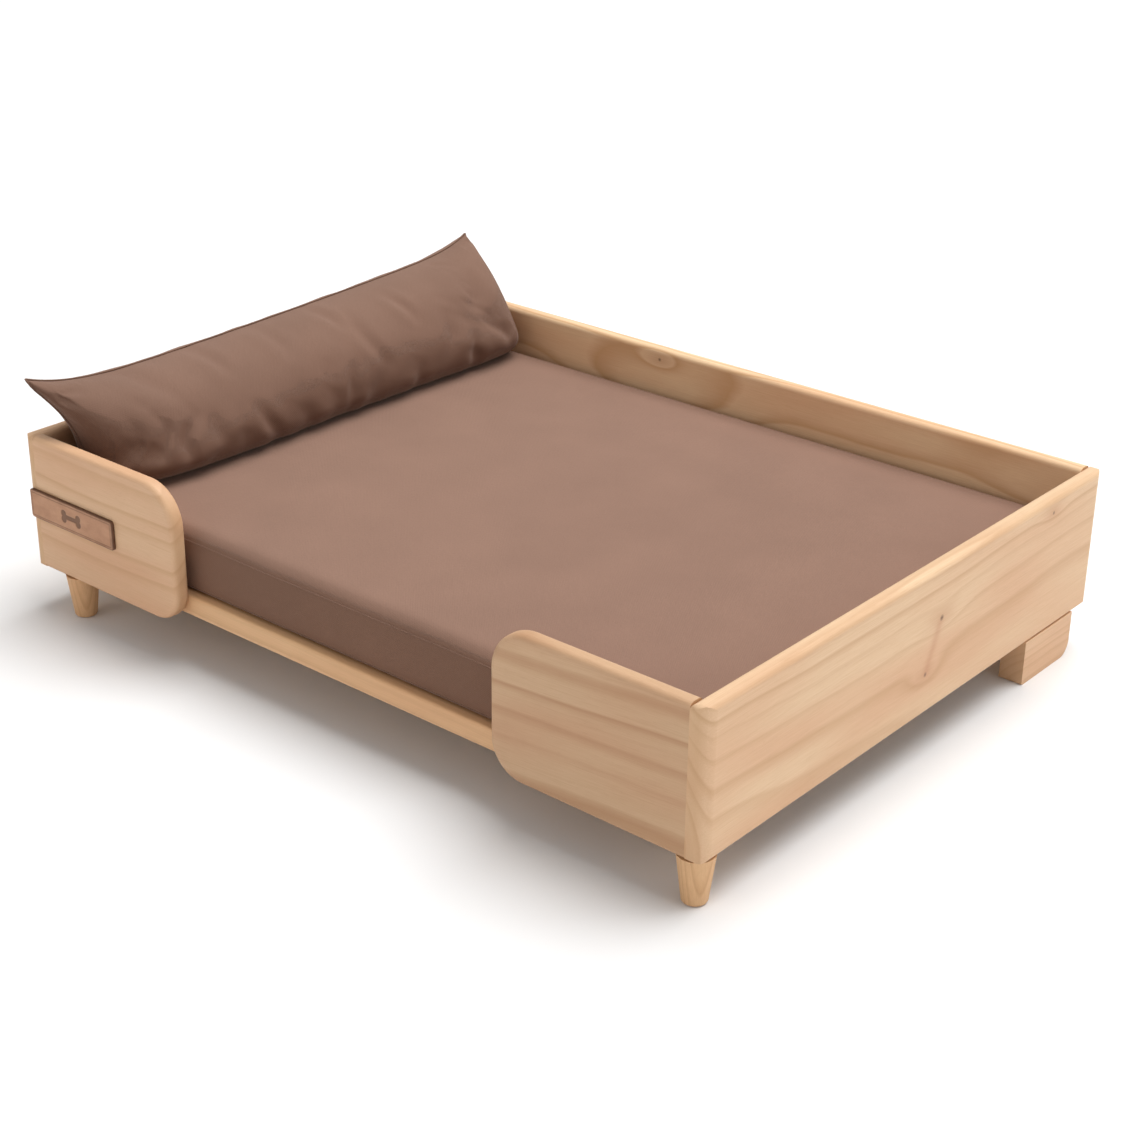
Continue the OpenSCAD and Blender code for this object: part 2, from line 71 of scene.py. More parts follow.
class Wire:
    """A socket that can stand in a formula; each operator adds one Math node."""

    def __init__(self, tree, socket):
        self.tree, self.socket = tree, socket

    def math(self, operation, *values):
        node = self.tree.nodes.new("ShaderNodeMath")
        node.operation = operation
        for slot, value in zip(node.inputs, values):
            plug(self.tree, slot, value)
        return Wire(self.tree, node.outputs[0])

    def __add__(self, other): return self.math("ADD", self, other)
    def __radd__(self, other): return self.math("ADD", other, self)
    def __sub__(self, other): return self.math("SUBTRACT", self, other)
    def __rsub__(self, other): return self.math("SUBTRACT", other, self)
    def __mul__(self, other): return self.math("MULTIPLY", self, other)
    def __rmul__(self, other): return self.math("MULTIPLY", other, self)
    def __truediv__(self, other): return self.math("DIVIDE", self, other)
    def __abs__(self): return self.math("ABSOLUTE", self)
    def sin(self): return self.math("SINE", self)
    def fract(self): return self.math("FRACT", self)
    def floor(self): return self.math("FLOOR", self)
    def sqrt(self): return self.math("SQRT", self)
    def exp(self): return self.math("EXPONENT", self)
    def at_least(self, other): return self.math("MAXIMUM", self, other)
    def at_most(self, other): return self.math("MINIMUM", self, other)


def add_node(tree, kind, settings=None, inputs=None, out=0):
    """Any node: its type, its settings, then the values or wires of its inputs."""
    node = tree.nodes.new("ShaderNode" + kind)
    settings = dict(settings or {})
    stops = settings.pop("stops", ())
    for key, value in settings.items():
        setattr(node, key, value)
    for number, (place, shade) in enumerate(stops):
        ramp = node.color_ramp.elements
        element = ramp[number] if number < len(ramp) else ramp.new(1.0)
        element.position = place
        element.color = (shade, shade, shade, 1)
    for key, value in (inputs or {}).items():
        plug(tree, node.inputs[key], value)
    return Wire(tree, node.outputs[out])


# %% [markdown]
# A finish holds one material while it is being made. Its small methods stand for the steps that
# every finish needs: where the point lies, which way it faces, some noise, a ramp, a mix of colours.


# %% Finish
class Finish:
    """A material that is being made: its nodes, and the Principled shader at its end."""

    def __init__(self, name, **constants):
        self.material = bpy.data.materials.new(name)
        self.material.use_nodes = True
        self.tree = self.material.node_tree
        self.shader = self.tree.nodes["Principled BSDF"]
        for socket, value in constants.items():
            self.shader.inputs[socket.replace("_", " ")].default_value = value

    def node(self, kind, settings=None, inputs=None, out=0):
        return add_node(self.tree, kind, settings, inputs, out)

    def parts(self, vector):
        """The three parts of a vector, as wires."""
        split = self.node("SeparateXYZ", inputs={0: vector})
        return [Wire(self.tree, output) for output in split.socket.node.outputs]

    def place(self):
        """The point being shaded, in millimetres of the bed's own frame."""
        return [part * 1000.0 for part in self.parts(self.node("TexCoord", out="Object"))]

    def facing(self):
        """The surface's own direction as three wires."""
        return self.parts(self.node("TexCoord", out="Normal"))

    def vector(self, x, y, z):
        return self.node("CombineXYZ", inputs={0: x, 1: y, 2: z})

    def noise(self, x, y, z, detail=2.0, rough=0.5):
        return self.node("TexNoise", inputs={
            "Vector": self.vector(x, y, z), "Scale": 1.0, "Detail": detail, "Roughness": rough})

    def random(self, value):
        return self.node("TexWhiteNoise", {"noise_dimensions": "1D"}, {"W": value})

    def ramp(self, value, *stops):
        return self.node("ValToRGB", {"stops": stops}, {"Fac": value})

    def mix(self, share, first, second, how="MIX"):
        return self.node("Mix", {"data_type": "RGBA", "blend_type": how},
                         {"Factor": share, 6: first, 7: second}, out=2)

    def finish(self, colour, roughness, height=None, depth=0.0, bump=1.0):
        """Feeds the shader: colour, roughness and a height pattern that is depth metres deep."""
        plug(self.tree, self.shader.inputs["Base Color"], colour)
        plug(self.tree, self.shader.inputs["Roughness"], roughness)
        if height is not None:
            normal = self.node("Bump", inputs={"Height": height, "Distance": depth, "Strength": bump})
            plug(self.tree, self.shader.inputs["Normal"], normal)
        return self.material


def rgb(red, green, blue):
    """A colour with full alpha."""
    return (red, green, blue, 1.0)


def toned(colour, share):
    """The same colour, paler or darker by a share."""
    return rgb(*(part * share for part in colour))


# %% [markdown]
# ## The camera
# The eye is 0.7 m above the floor and looks down at the bed, turned so that the open front and the
# right end both show. The lens is a short telephoto, which keeps the long boards nearly parallel.

# %% Camera
EYE = Vector((0.89399, -1.04862, 0.69606))
TURN, DIP, ROLL = math.radians(40.22), math.radians(25.19), math.radians(0.61)
lens_data = bpy.data.cameras.new("camera")
lens_data.lens, lens_data.sensor_width = 67.74, 36.0
camera = bpy.data.objects.new("camera", lens_data)
scene.collection.objects.link(camera)
camera.location = EYE
upright = Euler((math.radians(90) - DIP, 0, TURN)).to_quaternion()
camera.rotation_mode = "QUATERNION"
camera.rotation_quaternion = upright @ Quaternion((0, 0, 1), ROLL)
scene.camera = camera
print("camera distance in m:", round(EYE.length, 3))

# %% [markdown]
# ## Studio floor and light
# The bed stands on a plain pale floor that fades to white in the distance. A soft sky, brightest at
# the horizon, fills the shadows. A big panel overhead lights the tops, a smaller one the right end,
# and a weak warm one keeps the open front from going dark.

# %% Floor
floor_finish = Finish("studio_floor", Specular_IOR_Level=0.2)
floor_x, floor_y, _ = floor_finish.place()
mottle = floor_finish.noise(floor_x / 900, floor_y / 900, 0.0)
floor_colour = floor_finish.ramp(mottle, (0.3, 0.86), (0.7, 0.88))
floor_mesh = bpy.data.meshes.new("studio_floor")
FLOOR_REACH = 14.0
corners = [(x * FLOOR_REACH, y * FLOOR_REACH, 0) for x, y in ((-1, -1), (1, -1), (1, 1), (-1, 1))]
floor_mesh.from_pydata(corners, [], [(0, 1, 2, 3)])
floor_mesh.materials.append(floor_finish.finish(floor_colour, 0.9))
far_out = (floor_x * floor_x + floor_y * floor_y).sqrt() / 6000.0
plug(floor_finish.tree, floor_finish.shader.inputs["Emission Color"],
     floor_finish.ramp(far_out, (0.3, 0.0), (0.9, 0.62)))
floor_finish.shader.inputs["Emission Strength"].default_value = 1.0
floor = bpy.data.objects.new("studio_floor", floor_mesh)
scene.collection.objects.link(floor)
print("floor: square of", 2 * FLOOR_REACH, "m")


# %% Lights and sky
def soft_panel(name, place, aim, size, watts, tint=(1, 1, 1)):
    """A square light of that size, in metres, turned to face the aim point."""
    data = bpy.data.lights.new(name, "AREA")
    data.shape, data.size, data.energy, data.color = "SQUARE", size, watts, tint
    lamp = bpy.data.objects.new(name, data)
    scene.collection.objects.link(lamp)
    lamp.location = place
    lamp.rotation_mode = "QUATERNION"
    lamp.rotation_quaternion = (Vector(aim) - Vector(place)).to_track_quat("-Z", "Y")


soft_panel("overhead_panel", (0.5, 1.5, 4.4), (0, 0, 0), 4.0, 270.0)
soft_panel("right_panel", (3.0, 0.4, 1.3), (0, 0, 0.1), 2.2, 9.5)
soft_panel("front_panel", (-1.2, -3.2, 1.5), (0, 0, 0.1), 2.0, 12.5, tint=(1.0, 0.95, 0.9))
scene.world = bpy.data.worlds.new("studio_sky")
scene.world.use_nodes = True
sky = scene.world.node_tree
sky_height = add_node(sky, "SeparateXYZ", inputs={0: add_node(sky, "TexCoord", out="Generated")}, out="Z")
sky_tone = add_node(sky, "ValToRGB", {"stops": ((0.06, 0.94), (0.22, 0.36))}, {0: sky_height})
plug(sky, sky.nodes["Background"].inputs["Color"], sky_tone)
scene.view_settings.view_transform = "Standard"

# %% [markdown]
# ## Pine, as a block and not as a picture
# Wood grain is a solid thing: growth rings round the middle of the log, cut through by each board.
# So the rings are computed in space, from the distance to the log's centre line. Long faces then
# show streaks and arches, and the sawn ends show arcs, all of them matching round the corners.


# %% Pine finish
AXES = {"x": (0, 1, 2), "y": (1, 0, 2), "z": (2, 0, 1)}
PINE_LIGHT, PINE_DARK = rgb(0.76, 0.535, 0.335), rgb(0.50, 0.265, 0.125)
SAWN_TONE, RESIN_TONE = rgb(0.56, 0.33, 0.17), rgb(0.50, 0.20, 0.11)
KNOT_RING, KNOT_HEART = rgb(0.48, 0.22, 0.11), rgb(0.09, 0.035, 0.018)


def streaked(wood, colour, a, c, ripple, streak):
    """Adds a reddish mark between two places of a board, as broad as its last number says."""
    a0, c0, a1, c1, broad = streak
    length = math.hypot(a1 - a0, c1 - c0)
    way_a, way_c = (a1 - a0) / length, (c1 - c0) / length
    down = ((a - a0) * way_a + (c - c0) * way_c) / length
    aside = ((c - c0) * way_a - (a - a0) * way_c) / broad + ripple * 1.5
    faded = wood.ramp(down, (0.0, 0.0), (0.12, 1.0), (0.85, 0.9), (1.0, 0.0))
    return wood.mix((aside * aside * -1).exp() * faded * 0.38, colour, RESIN_TONE)


def pine(name, along, log, ring=5.0, contrast=0.55, wander=14.0, seed=0.0, light=PINE_LIGHT,
         dark=PINE_DARK, knots=(), tilt=0.0, streaks=()):
    """Pine whose fibres run along one axis; log is the ring centre in the other two, in mm.

    ring is the distance between two growth rings, and tilt makes them climb along the board."""
    wood = Finish(name, Specular_IOR_Level=0.35)
    where = wood.place()
    a, b, c = (where[i] for i in AXES[along])
    plain_c = c
    c = c + a * tilt
    end_facing = abs(wood.facing()[AXES[along][0]])
    drift = wood.noise(a / 260 + seed, b / 90, c / 90, detail=1.0) - 0.5
    ripple = wood.noise(a / 55 + seed, b / 14, c / 14, detail=2.0) - 0.5
    from_log = ((b - log[0]) * (b - log[0]) + (c - log[1]) * (c - log[1])).sqrt()
    from_log = from_log + drift * (1.3 * wander) + ripple * 0.9
    core, halo = 0.0, 0.0
    for knot_a, knot_c, size in knots:
        along_knot, across_knot = a - knot_a, plain_c - knot_c
        near = along_knot * along_knot / (size * 9) ** 2 + across_knot * across_knot / (size * 4) ** 2
        from_log = from_log + (near * -1).exp() * (size * 2.2)
        close = (along_knot * along_knot + across_knot * across_knot).sqrt() / size + ripple * 1.2
        core = core + (1 - close).at_least(0.0).at_most(1.0)
        halo = halo + (near * -2.5).exp()
    rings = from_log / ring + wood.noise(from_log / 24 + seed, 0.0, 0.0) * 1.6
    late = wood.ramp(rings.fract(), (0.0, 0.0), (0.5, 0.08), (0.87, 1.0), (0.94, 0.5), (1.0, 0.0))
    late = late * (0.3 + wood.random(rings.floor()) * 0.7)
    fibre = wood.noise(a / 22 + seed, b * 1.5, c * 1.5, detail=3.0, rough=0.6)
    pore = wood.ramp(wood.noise(a / 7, b * 2.6 + seed, c * 2.6), (0.62, 0.0), (0.75, 1.0))
    patch = wood.noise(a / 170 + seed, b / 45, c / 38, detail=1.0)
    blush = rgb(light[0] * 0.93, light[1] * 0.83, light[2] * 0.80)
    colour = wood.mix(wood.ramp(patch, (0.38, 0.0), (0.66, 1.0)), light, blush)
    colour = wood.mix((late * (contrast * 1.15)).at_most(0.9), colour, dark)
    hair = wood.noise(a / 45 + seed, b * 2.4, c * 2.4, detail=2.0, rough=0.6)
    colour = wood.mix(wood.ramp(fibre, (0.3, 0.0), (0.75, 1.0)) * 0.22, colour, dark)
    colour = wood.mix(wood.ramp(hair, (0.5, 0.0), (0.72, 1.0)) * 0.20, colour, dark)
    colour = wood.mix(pore * 0.22, colour, dark)
    sawn = wood.ramp(end_facing, (0.6, 0.0), (0.92, 1.0))
    colour = wood.mix(sawn * 0.42, colour, SAWN_TONE)
    for streak in streaks:
        colour = streaked(wood, colour, a, plain_c, ripple, streak)
    if knots:
        colour = wood.mix((halo * 0.35).at_most(0.6), colour, KNOT_RING)
        colour = wood.mix(core.at_most(1.0) * 0.95, colour, KNOT_HEART)
    roughness = 0.44 + fibre * 0.16 + sawn * 0.15
    height = fibre * 0.6 + late * -0.35 + pore * -0.7
    return wood.finish(colour, roughness, height, depth=0.00012, bump=0.7)


def dress(node, material):
    """Gives a ready-made part its finish."""
    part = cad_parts[node]
    part.data.materials.clear()
    part.data.materials.append(material)
    return part


def middle(node):
    """The middle of a part, in millimetres."""
    low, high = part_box(node)
    return (low + high) / 2 / MM


def dress_pine(node, along, off, kind="pine", **look):
    """Dresses a part in wood; off is how far the log's centre lies from the part's middle, in mm."""
    mid = middle(node)
    log = [mid[axis] + shift for axis, shift in zip(AXES[along][1:], off)]
    return dress(node, pine(kind + "_" + node, along, log, **look))


print("middle of the back board in mm:", [round(part, 1) for part in middle("back_board")])

# %% [markdown]
# ## Dressing the boards
# Each board was cut from its own place in a log, so each gets its own ring centre and a shifted
# pattern. A ring centre close behind a face gives arches on it; one far off gives straight streaks.

# %% Boards
board_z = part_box("back_board")[0].z / MM
dress_pine("back_board", "x", (46, 34), ring=6.5, wander=30, contrast=0.75, seed=3.1,
           light=rgb(0.86, 0.62, 0.385), dark=rgb(0.56, 0.29, 0.125),
           knots=[(-77.0, board_z + 93.0, 2.0)])
dress_pine("front_right_board", "x", (36, -92), ring=17.0, wander=12, contrast=0.62, seed=11.4,
           tilt=-0.07, light=rgb(0.62, 0.41, 0.245), dark=rgb(0.40, 0.195, 0.09))
dress_pine("front_left_board", "x", (60, -75), ring=12.0, wander=12, seed=23.7,
           light=rgb(0.72, 0.475, 0.29))
PIN_KNOTS = [(158.7, board_z + 91.2, 2.0), (19.9, board_z + 64.6, 2.6), (5.1, board_z + 29.7, 2.4)]
dress_pine("right_end_board", "y", (-70, -42), ring=8.5, contrast=0.5, seed=7.9, knots=PIN_KNOTS,
           streaks=[(19.9, board_z + 66, 4.0, board_z + 27, 4.0)])
dress_pine("left_end_board", "y", (64, 22), ring=7.0, wander=16, contrast=0.45, seed=31.3)
for name, seed in (("front_rail", 41.0), ("back_rail", 47.0)):
    dress_pine(name, "x", (30, 60), ring=6.0, contrast=0.4, seed=seed, light=rgb(0.76, 0.47, 0.25))
print("pin knots on the right end:", len(PIN_KNOTS))

# %% [markdown]
# ## Slats, legs and eased edges
# Slats are sawn one after another from the same plank, so each takes the next slice of one log. The
# legs stand upright, but the rear blocks are offcuts whose fibres lie flat. Sandpaper takes the
# sharpness off an edge; a narrow bevel modifier does the same without touching the size.

# %% Slats
slats = [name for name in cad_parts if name.startswith("slat_") and name != "slat_screws"]
for number, name in enumerate(sorted(slats)):
    sway = (number * 37) % 50 - 25
    dress_pine(name, "y", (sway, -36 - number * 4), ring=5.5, seed=50.0 + 5.3 * number,
               light=rgb(0.79, 0.58, 0.38))
print(len(slats), "slats dressed")


# %% Legs
def ease(node, width):
    """Rounds a ready-made part's sharp edges; width is in millimetres."""
    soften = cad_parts[node].modifiers.new("eased_edges", "BEVEL")
    soften.width = width * MM
    soften.segments = 3
    soften.limit_method = "ANGLE"
    soften.angle_limit = math.radians(40)


for name in ("front_left_leg", "front_right_leg"):
    dress_pine(name, "z", (34, -20), ring=3.6, contrast=0.5, seed=middle(name).x / 10,
               light=rgb(0.74, 0.47, 0.25), dark=rgb(0.48, 0.24, 0.10))
for name in ("rear_left_leg", "rear_right_leg"):
    dress_pine(name, "y", (40, -50), ring=6.0, contrast=0.45, seed=middle(name).x / 9)
    ease(name, 1.2)
for name in ("front_rail", "back_rail"):
    ease(name, 0.5)
print("left front leg stands at", [round(part, 1) for part in middle("front_left_leg")])

# %% [markdown]
# ## Plywood, dowels and screws
# The corner plates under the rails are thin plywood, the hidden pins are beech, and the screws are
# zinc plated steel. Metal needs only a colour, some roughness and the faint marks of turning.

# %% Plates, dowels and screws
plates = ("front_left_plate", "front_right_plate", "rear_left_plate", "rear_right_plate")
for number, name in enumerate(plates):
    dress_pine(name, "x", (15, 140), kind="plywood", ring=9.0, wander=30, contrast=0.25,
               seed=90.0 + number * 3, light=rgb(0.70, 0.50, 0.32), dark=rgb(0.46, 0.27, 0.14))
beech = pine("beech_dowel", "z", (0, 0), ring=3.0, contrast=0.2, seed=4.0, light=rgb(0.62, 0.40, 0.24))
for name in ("corner_dowels", "rail_dowels", "leg_dowels"):
    dress(name, beech)


def metal(name, colour, rough):
    """Plated metal with a slightly uneven sheen; rough is its roughness."""
    made = Finish(name, Metallic=1.0)
    x, y, z = made.place()
    cloud = made.noise(x / 3, y / 3, z / 3, detail=3.0)
    scratch = made.noise(x * 4, y * 4, z * 0.4, detail=2.0)
    tone = made.mix(made.ramp(cloud, (0.35, 0.0), (0.7, 0.35)), rgb(*colour), toned(colour, 0.6))
    return made.finish(tone, rough + scratch * 0.15, scratch, depth=0.00002, bump=0.5)


zinc = metal("zinc_screw", (0.62, 0.60, 0.56), 0.26)
for name in ("slat_screws", "plate_screws", "leg_screws"):
    dress(name, zinc)
slider_metal = metal("zip_metal", (0.26, 0.19, 0.13), 0.34)
for name in ("mattress_zip_slider", "bolster_zip_slider"):
    part = dress(name, slider_metal)
    soften = part.modifiers.new("soft_edges", "BEVEL")
    soften.width = 0.35 * MM
    soften.segments = 3
print("parts with a modifier:", sum(1 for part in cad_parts.values() if part.modifiers))

# %% [markdown]
# ## Cloth finish
# Both covers are sewn from one brown cotton canvas. Close up it is a plain weave with thicker
# threads here and there; further off the eye sees a matt brown that turns paler at low angles.
# Painted shade darkens every face that doesn't point up, and the bolster's copy of the canvas is
# darker all over, which is painted shade as well.


# %% Cloth finish
def canvas(name, colour, shade, pitch=0.75):
    """Plain weave canvas with painted shade: faces that don't point up are darkened by the shade colour;
    pitch is the distance between threads in mm.
    """
    cloth = Finish(name, Specular_IOR_Level=0.12, Sheen_Weight=0.3, Sheen_Roughness=0.45)
    cloth.shader.inputs["Sheen Tint"].default_value = rgb(0.85, 0.68, 0.58)
    x, y, z = cloth.place()
    nx, ny, nz = cloth.facing()
    flat_top = cloth.ramp(abs(nz), (0.45, 0.0), (0.6, 1.0))
    side_x = cloth.ramp(abs(nx), (0.6, 0.0), (0.7, 1.0))
    first = y * flat_top + (1 - flat_top) * (y * side_x + x * (1 - side_x))
    second = x * flat_top + z * (1 - flat_top)
    turn = math.tau / pitch / 2
    over = (first * turn).sin() * (second * turn).sin()
    slub = cloth.noise(x / 1.6, y / 1.6, z / 1.6, detail=3.0, rough=0.65)
    lint = cloth.noise(x / 0.5, y / 0.5, z / 0.5, detail=2.0)
    wash = cloth.noise(x / 60, y / 60, z / 60, detail=2.0)
    washed = cloth.ramp(wash, (0.3, 0.0), (0.7, 1.0))
    tone = cloth.mix(washed, toned(colour, 0.94), toned(colour, 1.05))
    # Painted shade: faces that don't point up are multiplied by the shade colour; only faces that point up
    # keep the plain tone.
    up_facing_unshaded = cloth.ramp(nz, (0.0, 0.0), (0.35, 0.22), (0.9, 1.0))
    tone = cloth.mix(up_facing_unshaded, cloth.mix(1.0, tone, rgb(*shade), how="MULTIPLY"), tone)
    tone = cloth.mix((slub * 0.5).at_most(0.4), tone, toned(colour, 0.72))
    tone = cloth.mix(over.at_least(0.0) * 0.12, tone, toned(colour, 1.5))
    relief = over * 0.5 + slub * 0.9 + lint * 0.3
    return cloth.finish(tone, 0.86 + lint * 0.1, relief, depth=0.00022, bump=0.55)


# The mattress's canvas, with painted shade on its sides and underneath.
brown = canvas("brown_canvas", (0.275, 0.161, 0.117), (0.66, 0.58, 0.50))
# Painted shade: the bolster's copy of the same canvas is darker all over, and darker still on faces that
# don't point up.
bolster_brown_shaded = canvas("brown_canvas_bolster_shaded", (0.225, 0.130, 0.093), (0.55, 0.455, 0.40))


def new_piece(name, points, faces, material, body, smooth=True):
    """A mesh piece from points in millimetres, with its finish, riding on a body."""
    mesh = bpy.data.meshes.new(name)
    corners = [tuple(float(part) * MM for part in point) for point in points]
    mesh.from_pydata(corners, [], [tuple(map(int, face)) for face in faces])
    mesh.materials.append(material)
    mesh.polygons.foreach_set("use_smooth", [smooth] * len(mesh.polygons))
    mesh.update()
    piece = bpy.data.objects.new(name, mesh)
    scene.collection.objects.link(piece)
    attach(piece, body)
    return piece


def ring_faces(rings, around, closed=False, caps=True):
    """Faces between neighbouring rings of points, with a cap at either end of an open tube."""
    faces = []
    for number in range(rings if closed else rings - 1):
        here, there = number * around, (number + 1) % rings * around
        for k in range(around):
            after = (k + 1) % around
            faces.append((here + k, here + after, there + after, there + k))
    if caps and not closed:
        first = tuple(range(around))
        faces += [first[::-1], tuple((rings - 1) * around + k for k in first)]
    return faces


def box_of(node):
    """The lowest and the highest corner of a part, in millimetres."""
    return [np.array(corner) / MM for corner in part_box(node)]


print("cloth finishes:", brown.name, "and", bolster_brown_shaded.name)

# %% [markdown]
# ## The mattress
# A foam slab in a boxed cover has flat faces, soft edges and a slight crown. It is a box of grid
# lines: each point is moved to a rounded outline, and the edge is rolled over, wide at the top and
# narrow below. The lines lie close together round the zip, so that its channel in the back face has
# crisp walls.


# %% Box of grid lines
def spaced(start, stop, step, extra=()):
    """Grid lines no more than step apart, with the extra ones among them."""
    lines = sorted({start, stop, *[e for e in extra if start < e < stop]})
    out = []
    for a, b in zip(lines, lines[1:]):
        count = max(1, math.ceil((b - a) / step))
        out += [a + (b - a) * k / count for k in range(count)]
    return np.array(out + [stop])


def box_grid(*lines):
    """Points and faces on the six sides of a box of grid lines along x, y and z."""
    index, points, faces = {}, [], []
    last = [len(line) - 1 for line in lines]

    def at(place):
        if place not in index:
            index[place] = len(points)
            points.append(tuple(line[i] for line, i in zip(lines, place)))
        return index[place]

    for across, one, two in ((2, 0, 1), (1, 0, 2), (0, 1, 2)):
        cells = [(i, j, end) for i in range(last[one]) for j in range(last[two])
                 for end in (0, last[across])]
        for i, j, end in cells:
            corners = []
            for step_one, step_two in ((0, 0), (0, 1), (1, 1), (1, 0)):
                place = [0, 0, 0]
                place[one], place[two], place[across] = i + step_one, j + step_two, end
                corners.append(at(tuple(place)))
            outward = (end == 0) == (across != 1)
            faces.append(tuple(corners if outward else corners[:1] + corners[:0:-1]))
    return np.array(points), faces


print("sides of a box of one cell:", len(box_grid([0, 1], [0, 1], [0, 1])[1]))

# %% Rounded slab
low, high = box_of("mattress_cover")
MATTRESS_MID, MATTRESS_HALF, MATTRESS_TOP = (low + high) / 2, (high - low) / 2, high[2]
ZIP_LOW, ZIP_HIGH = box_of("mattress_zip_tape")
ZIP_MID, ZIP_HALF = (ZIP_LOW + ZIP_HIGH) / 2, (ZIP_HIGH - ZIP_LOW) / 2
CORNER_R, EDGE_R, LOWER_R, CROWN, EDGE_DROP = 17.0, 9.0, 3.0, 2.4, 1.4
RIM_SHARES = (0.3, 0.6, 1.0, 1.5)


def crown(x, y):
    """How far the top swells at x, y measured from the middle, in mm."""
    u = np.clip(np.abs(x) / MATTRESS_HALF[0], 0, 1)
    v = np.clip(np.abs(y) / MATTRESS_HALF[1], 0, 1)
    return CROWN * (1 - u ** 4) * (1 - v ** 4) - EDGE_DROP


def top_of_mattress(x, y):
    """Height of the mattress's top, in mm above the floor."""
    return MATTRESS_TOP + crown(x - MATTRESS_MID[0], y - MATTRESS_MID[1])


def zip_lines(axis, run_out):
    """Grid lines just outside the zip's channel along an axis, so that its walls stay crisp."""
    edges = (ZIP_LOW[axis] - MATTRESS_MID[axis], ZIP_HIGH[axis] - MATTRESS_MID[axis])
    return [edge + math.copysign(1, edge) * gap for edge in edges for gap in (0.3, 0.5, run_out)]


def slab(inset=0.0, step=6.0, channel=True):
    """The mattress's rounded slab, every side moved in by inset."""
    half = MATTRESS_HALF - inset
    extra = [zip_lines(0, 3), [], zip_lines(2, 2.5)] if channel else [[], [], []]
    lines = []
    for size, more in zip(half, extra):
        rims = [side * (size - EDGE_R * share) for share in RIM_SHARES for side in (-1, 1)]
        lines.append(spaced(-size, size, step, rims + more))
    box_points, faces = box_grid(*lines)
    moved = box_points.copy()
    radius = CORNER_R - inset
    beyond = np.abs(box_points[:, :2]) - (half[:2] - radius)
    corner = (beyond > 0).all(axis=1)
    reach = np.maximum(beyond.max(axis=1), 1e-9)
    length = np.maximum(np.hypot(beyond[:, 0], beyond[:, 1]), 1e-9)
    sign = np.sign(box_points[:, :2])
    outward = np.zeros_like(beyond)
    outward[corner] = (beyond / length[:, None] * sign)[corner]
    x_side = ~corner & (beyond[:, 0] >= beyond[:, 1])
    y_side = ~corner & ~x_side
    outward[x_side, 0] = sign[x_side, 0]
    outward[y_side, 1] = sign[y_side, 1]
    moved[corner, :2] = ((half[:2] - radius) * sign + outward * reach[:, None])[corner]
    inside = radius - reach
    below = half[2] - np.abs(box_points[:, 2])
    on_top, on_side = below < 1e-6, inside < 1e-6
    roll = np.maximum(np.where(box_points[:, 2] < 0, LOWER_R, EDGE_R) - inset, 0.6)
    rolled_top, rolled_side = on_top & (inside < roll), on_side & (below < roll)
    eighth = math.pi / 4
    angle = np.where(rolled_top, math.pi / 2 - (1 - np.clip(inside / roll, 0, 1)) * eighth,
                     np.where(rolled_side, (1 - np.clip(below / roll, 0, 1)) * eighth, 0.0))
    rolled = rolled_top | rolled_side
    shift = np.where(rolled, roll * (1 - np.cos(angle)) - inside, 0.0)
    moved[:, :2] -= outward * shift[:, None]
    lifted = half[2] - roll * (1 - np.sin(angle))
    moved[:, 2] = np.where(rolled, np.sign(box_points[:, 2]) * lifted, moved[:, 2])
    upper = np.clip((box_points[:, 2] + half[2]) / (2 * half[2]), 0, 1)
    moved[:, 2] += upper ** 2 * crown(moved[:, 0], moved[:, 1])
    return moved, faces, box_points


print("mattress in mm:", (2 * MATTRESS_HALF).round(1))

# %% [markdown]
# The front and the ends of the cover swell a little and ripple, because cloth is never pulled flat.
# The points in front of the zip are pushed in behind its tape.

# %% Mattress cover
points, faces, plain = slab()
bulge = 1 - (plain[:, 2] / MATTRESS_HALF[2]) ** 2
wave = (np.sin(points[:, 0] / 23 + 1.3) * np.sin(points[:, 0] / 57) + np.sin(points[:, 1] / 19) * 0.6)
front_face = plain[:, 1] < -MATTRESS_HALF[1] + 1e-6
points[front_face, 1] -= (bulge * (1.6 + 0.5 * wave))[front_face]
sides = np.abs(plain[:, 0]) > MATTRESS_HALF[0] - 1e-6
points[sides, 0] += (np.sign(plain[:, 0]) * bulge * 0.5)[sides]
near_zip = np.abs(plain - ZIP_MID + MATTRESS_MID) < ZIP_HALF + 0.4
in_channel = (plain[:, 1] > MATTRESS_HALF[1] - 1e-6) & near_zip[:, 0] & near_zip[:, 2]
points[in_channel, 1] = ZIP_LOW[1] - MATTRESS_MID[1] - 0.3
mattress_points = points
mattress = new_piece("mattress_cover_cloth", points + MATTRESS_MID, faces, brown, "mattress")
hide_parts("mattress_cover")
print("mattress:", len(points), "points,", int(in_channel.sum()), "in the zip channel")

# %% [markdown]
# ## The bolster's pattern
# A bolster is two long panels sewn together and stuffed. Its upper seam ends in two pointed ears.
# Here it stands on one long seam and leans on the left end board. The pattern below gives each
# point on the panels its stuffed place: v runs from the front end to the back end, s up the panel.

# %% Bolster shape
FOOT_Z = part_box("bolster_cover")[0].z / MM
WALL_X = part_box("left_end_board")[1].x / MM + 0.4
INSIDE_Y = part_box("back_board")[0].y / MM - 0.5
BOARD_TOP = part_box("back_board")[1].z / MM
SEAT_X = WALL_X + 30
BZIP_LOW, BZIP_HIGH = box_of("bolster_zip_tape")
SEAM_HALF, SEAM_RISE, PANEL_RISE = 213, 72, 110
FRONT_DEEP, BACK_DEEP, TUCK_END = 63, 31, 0.24


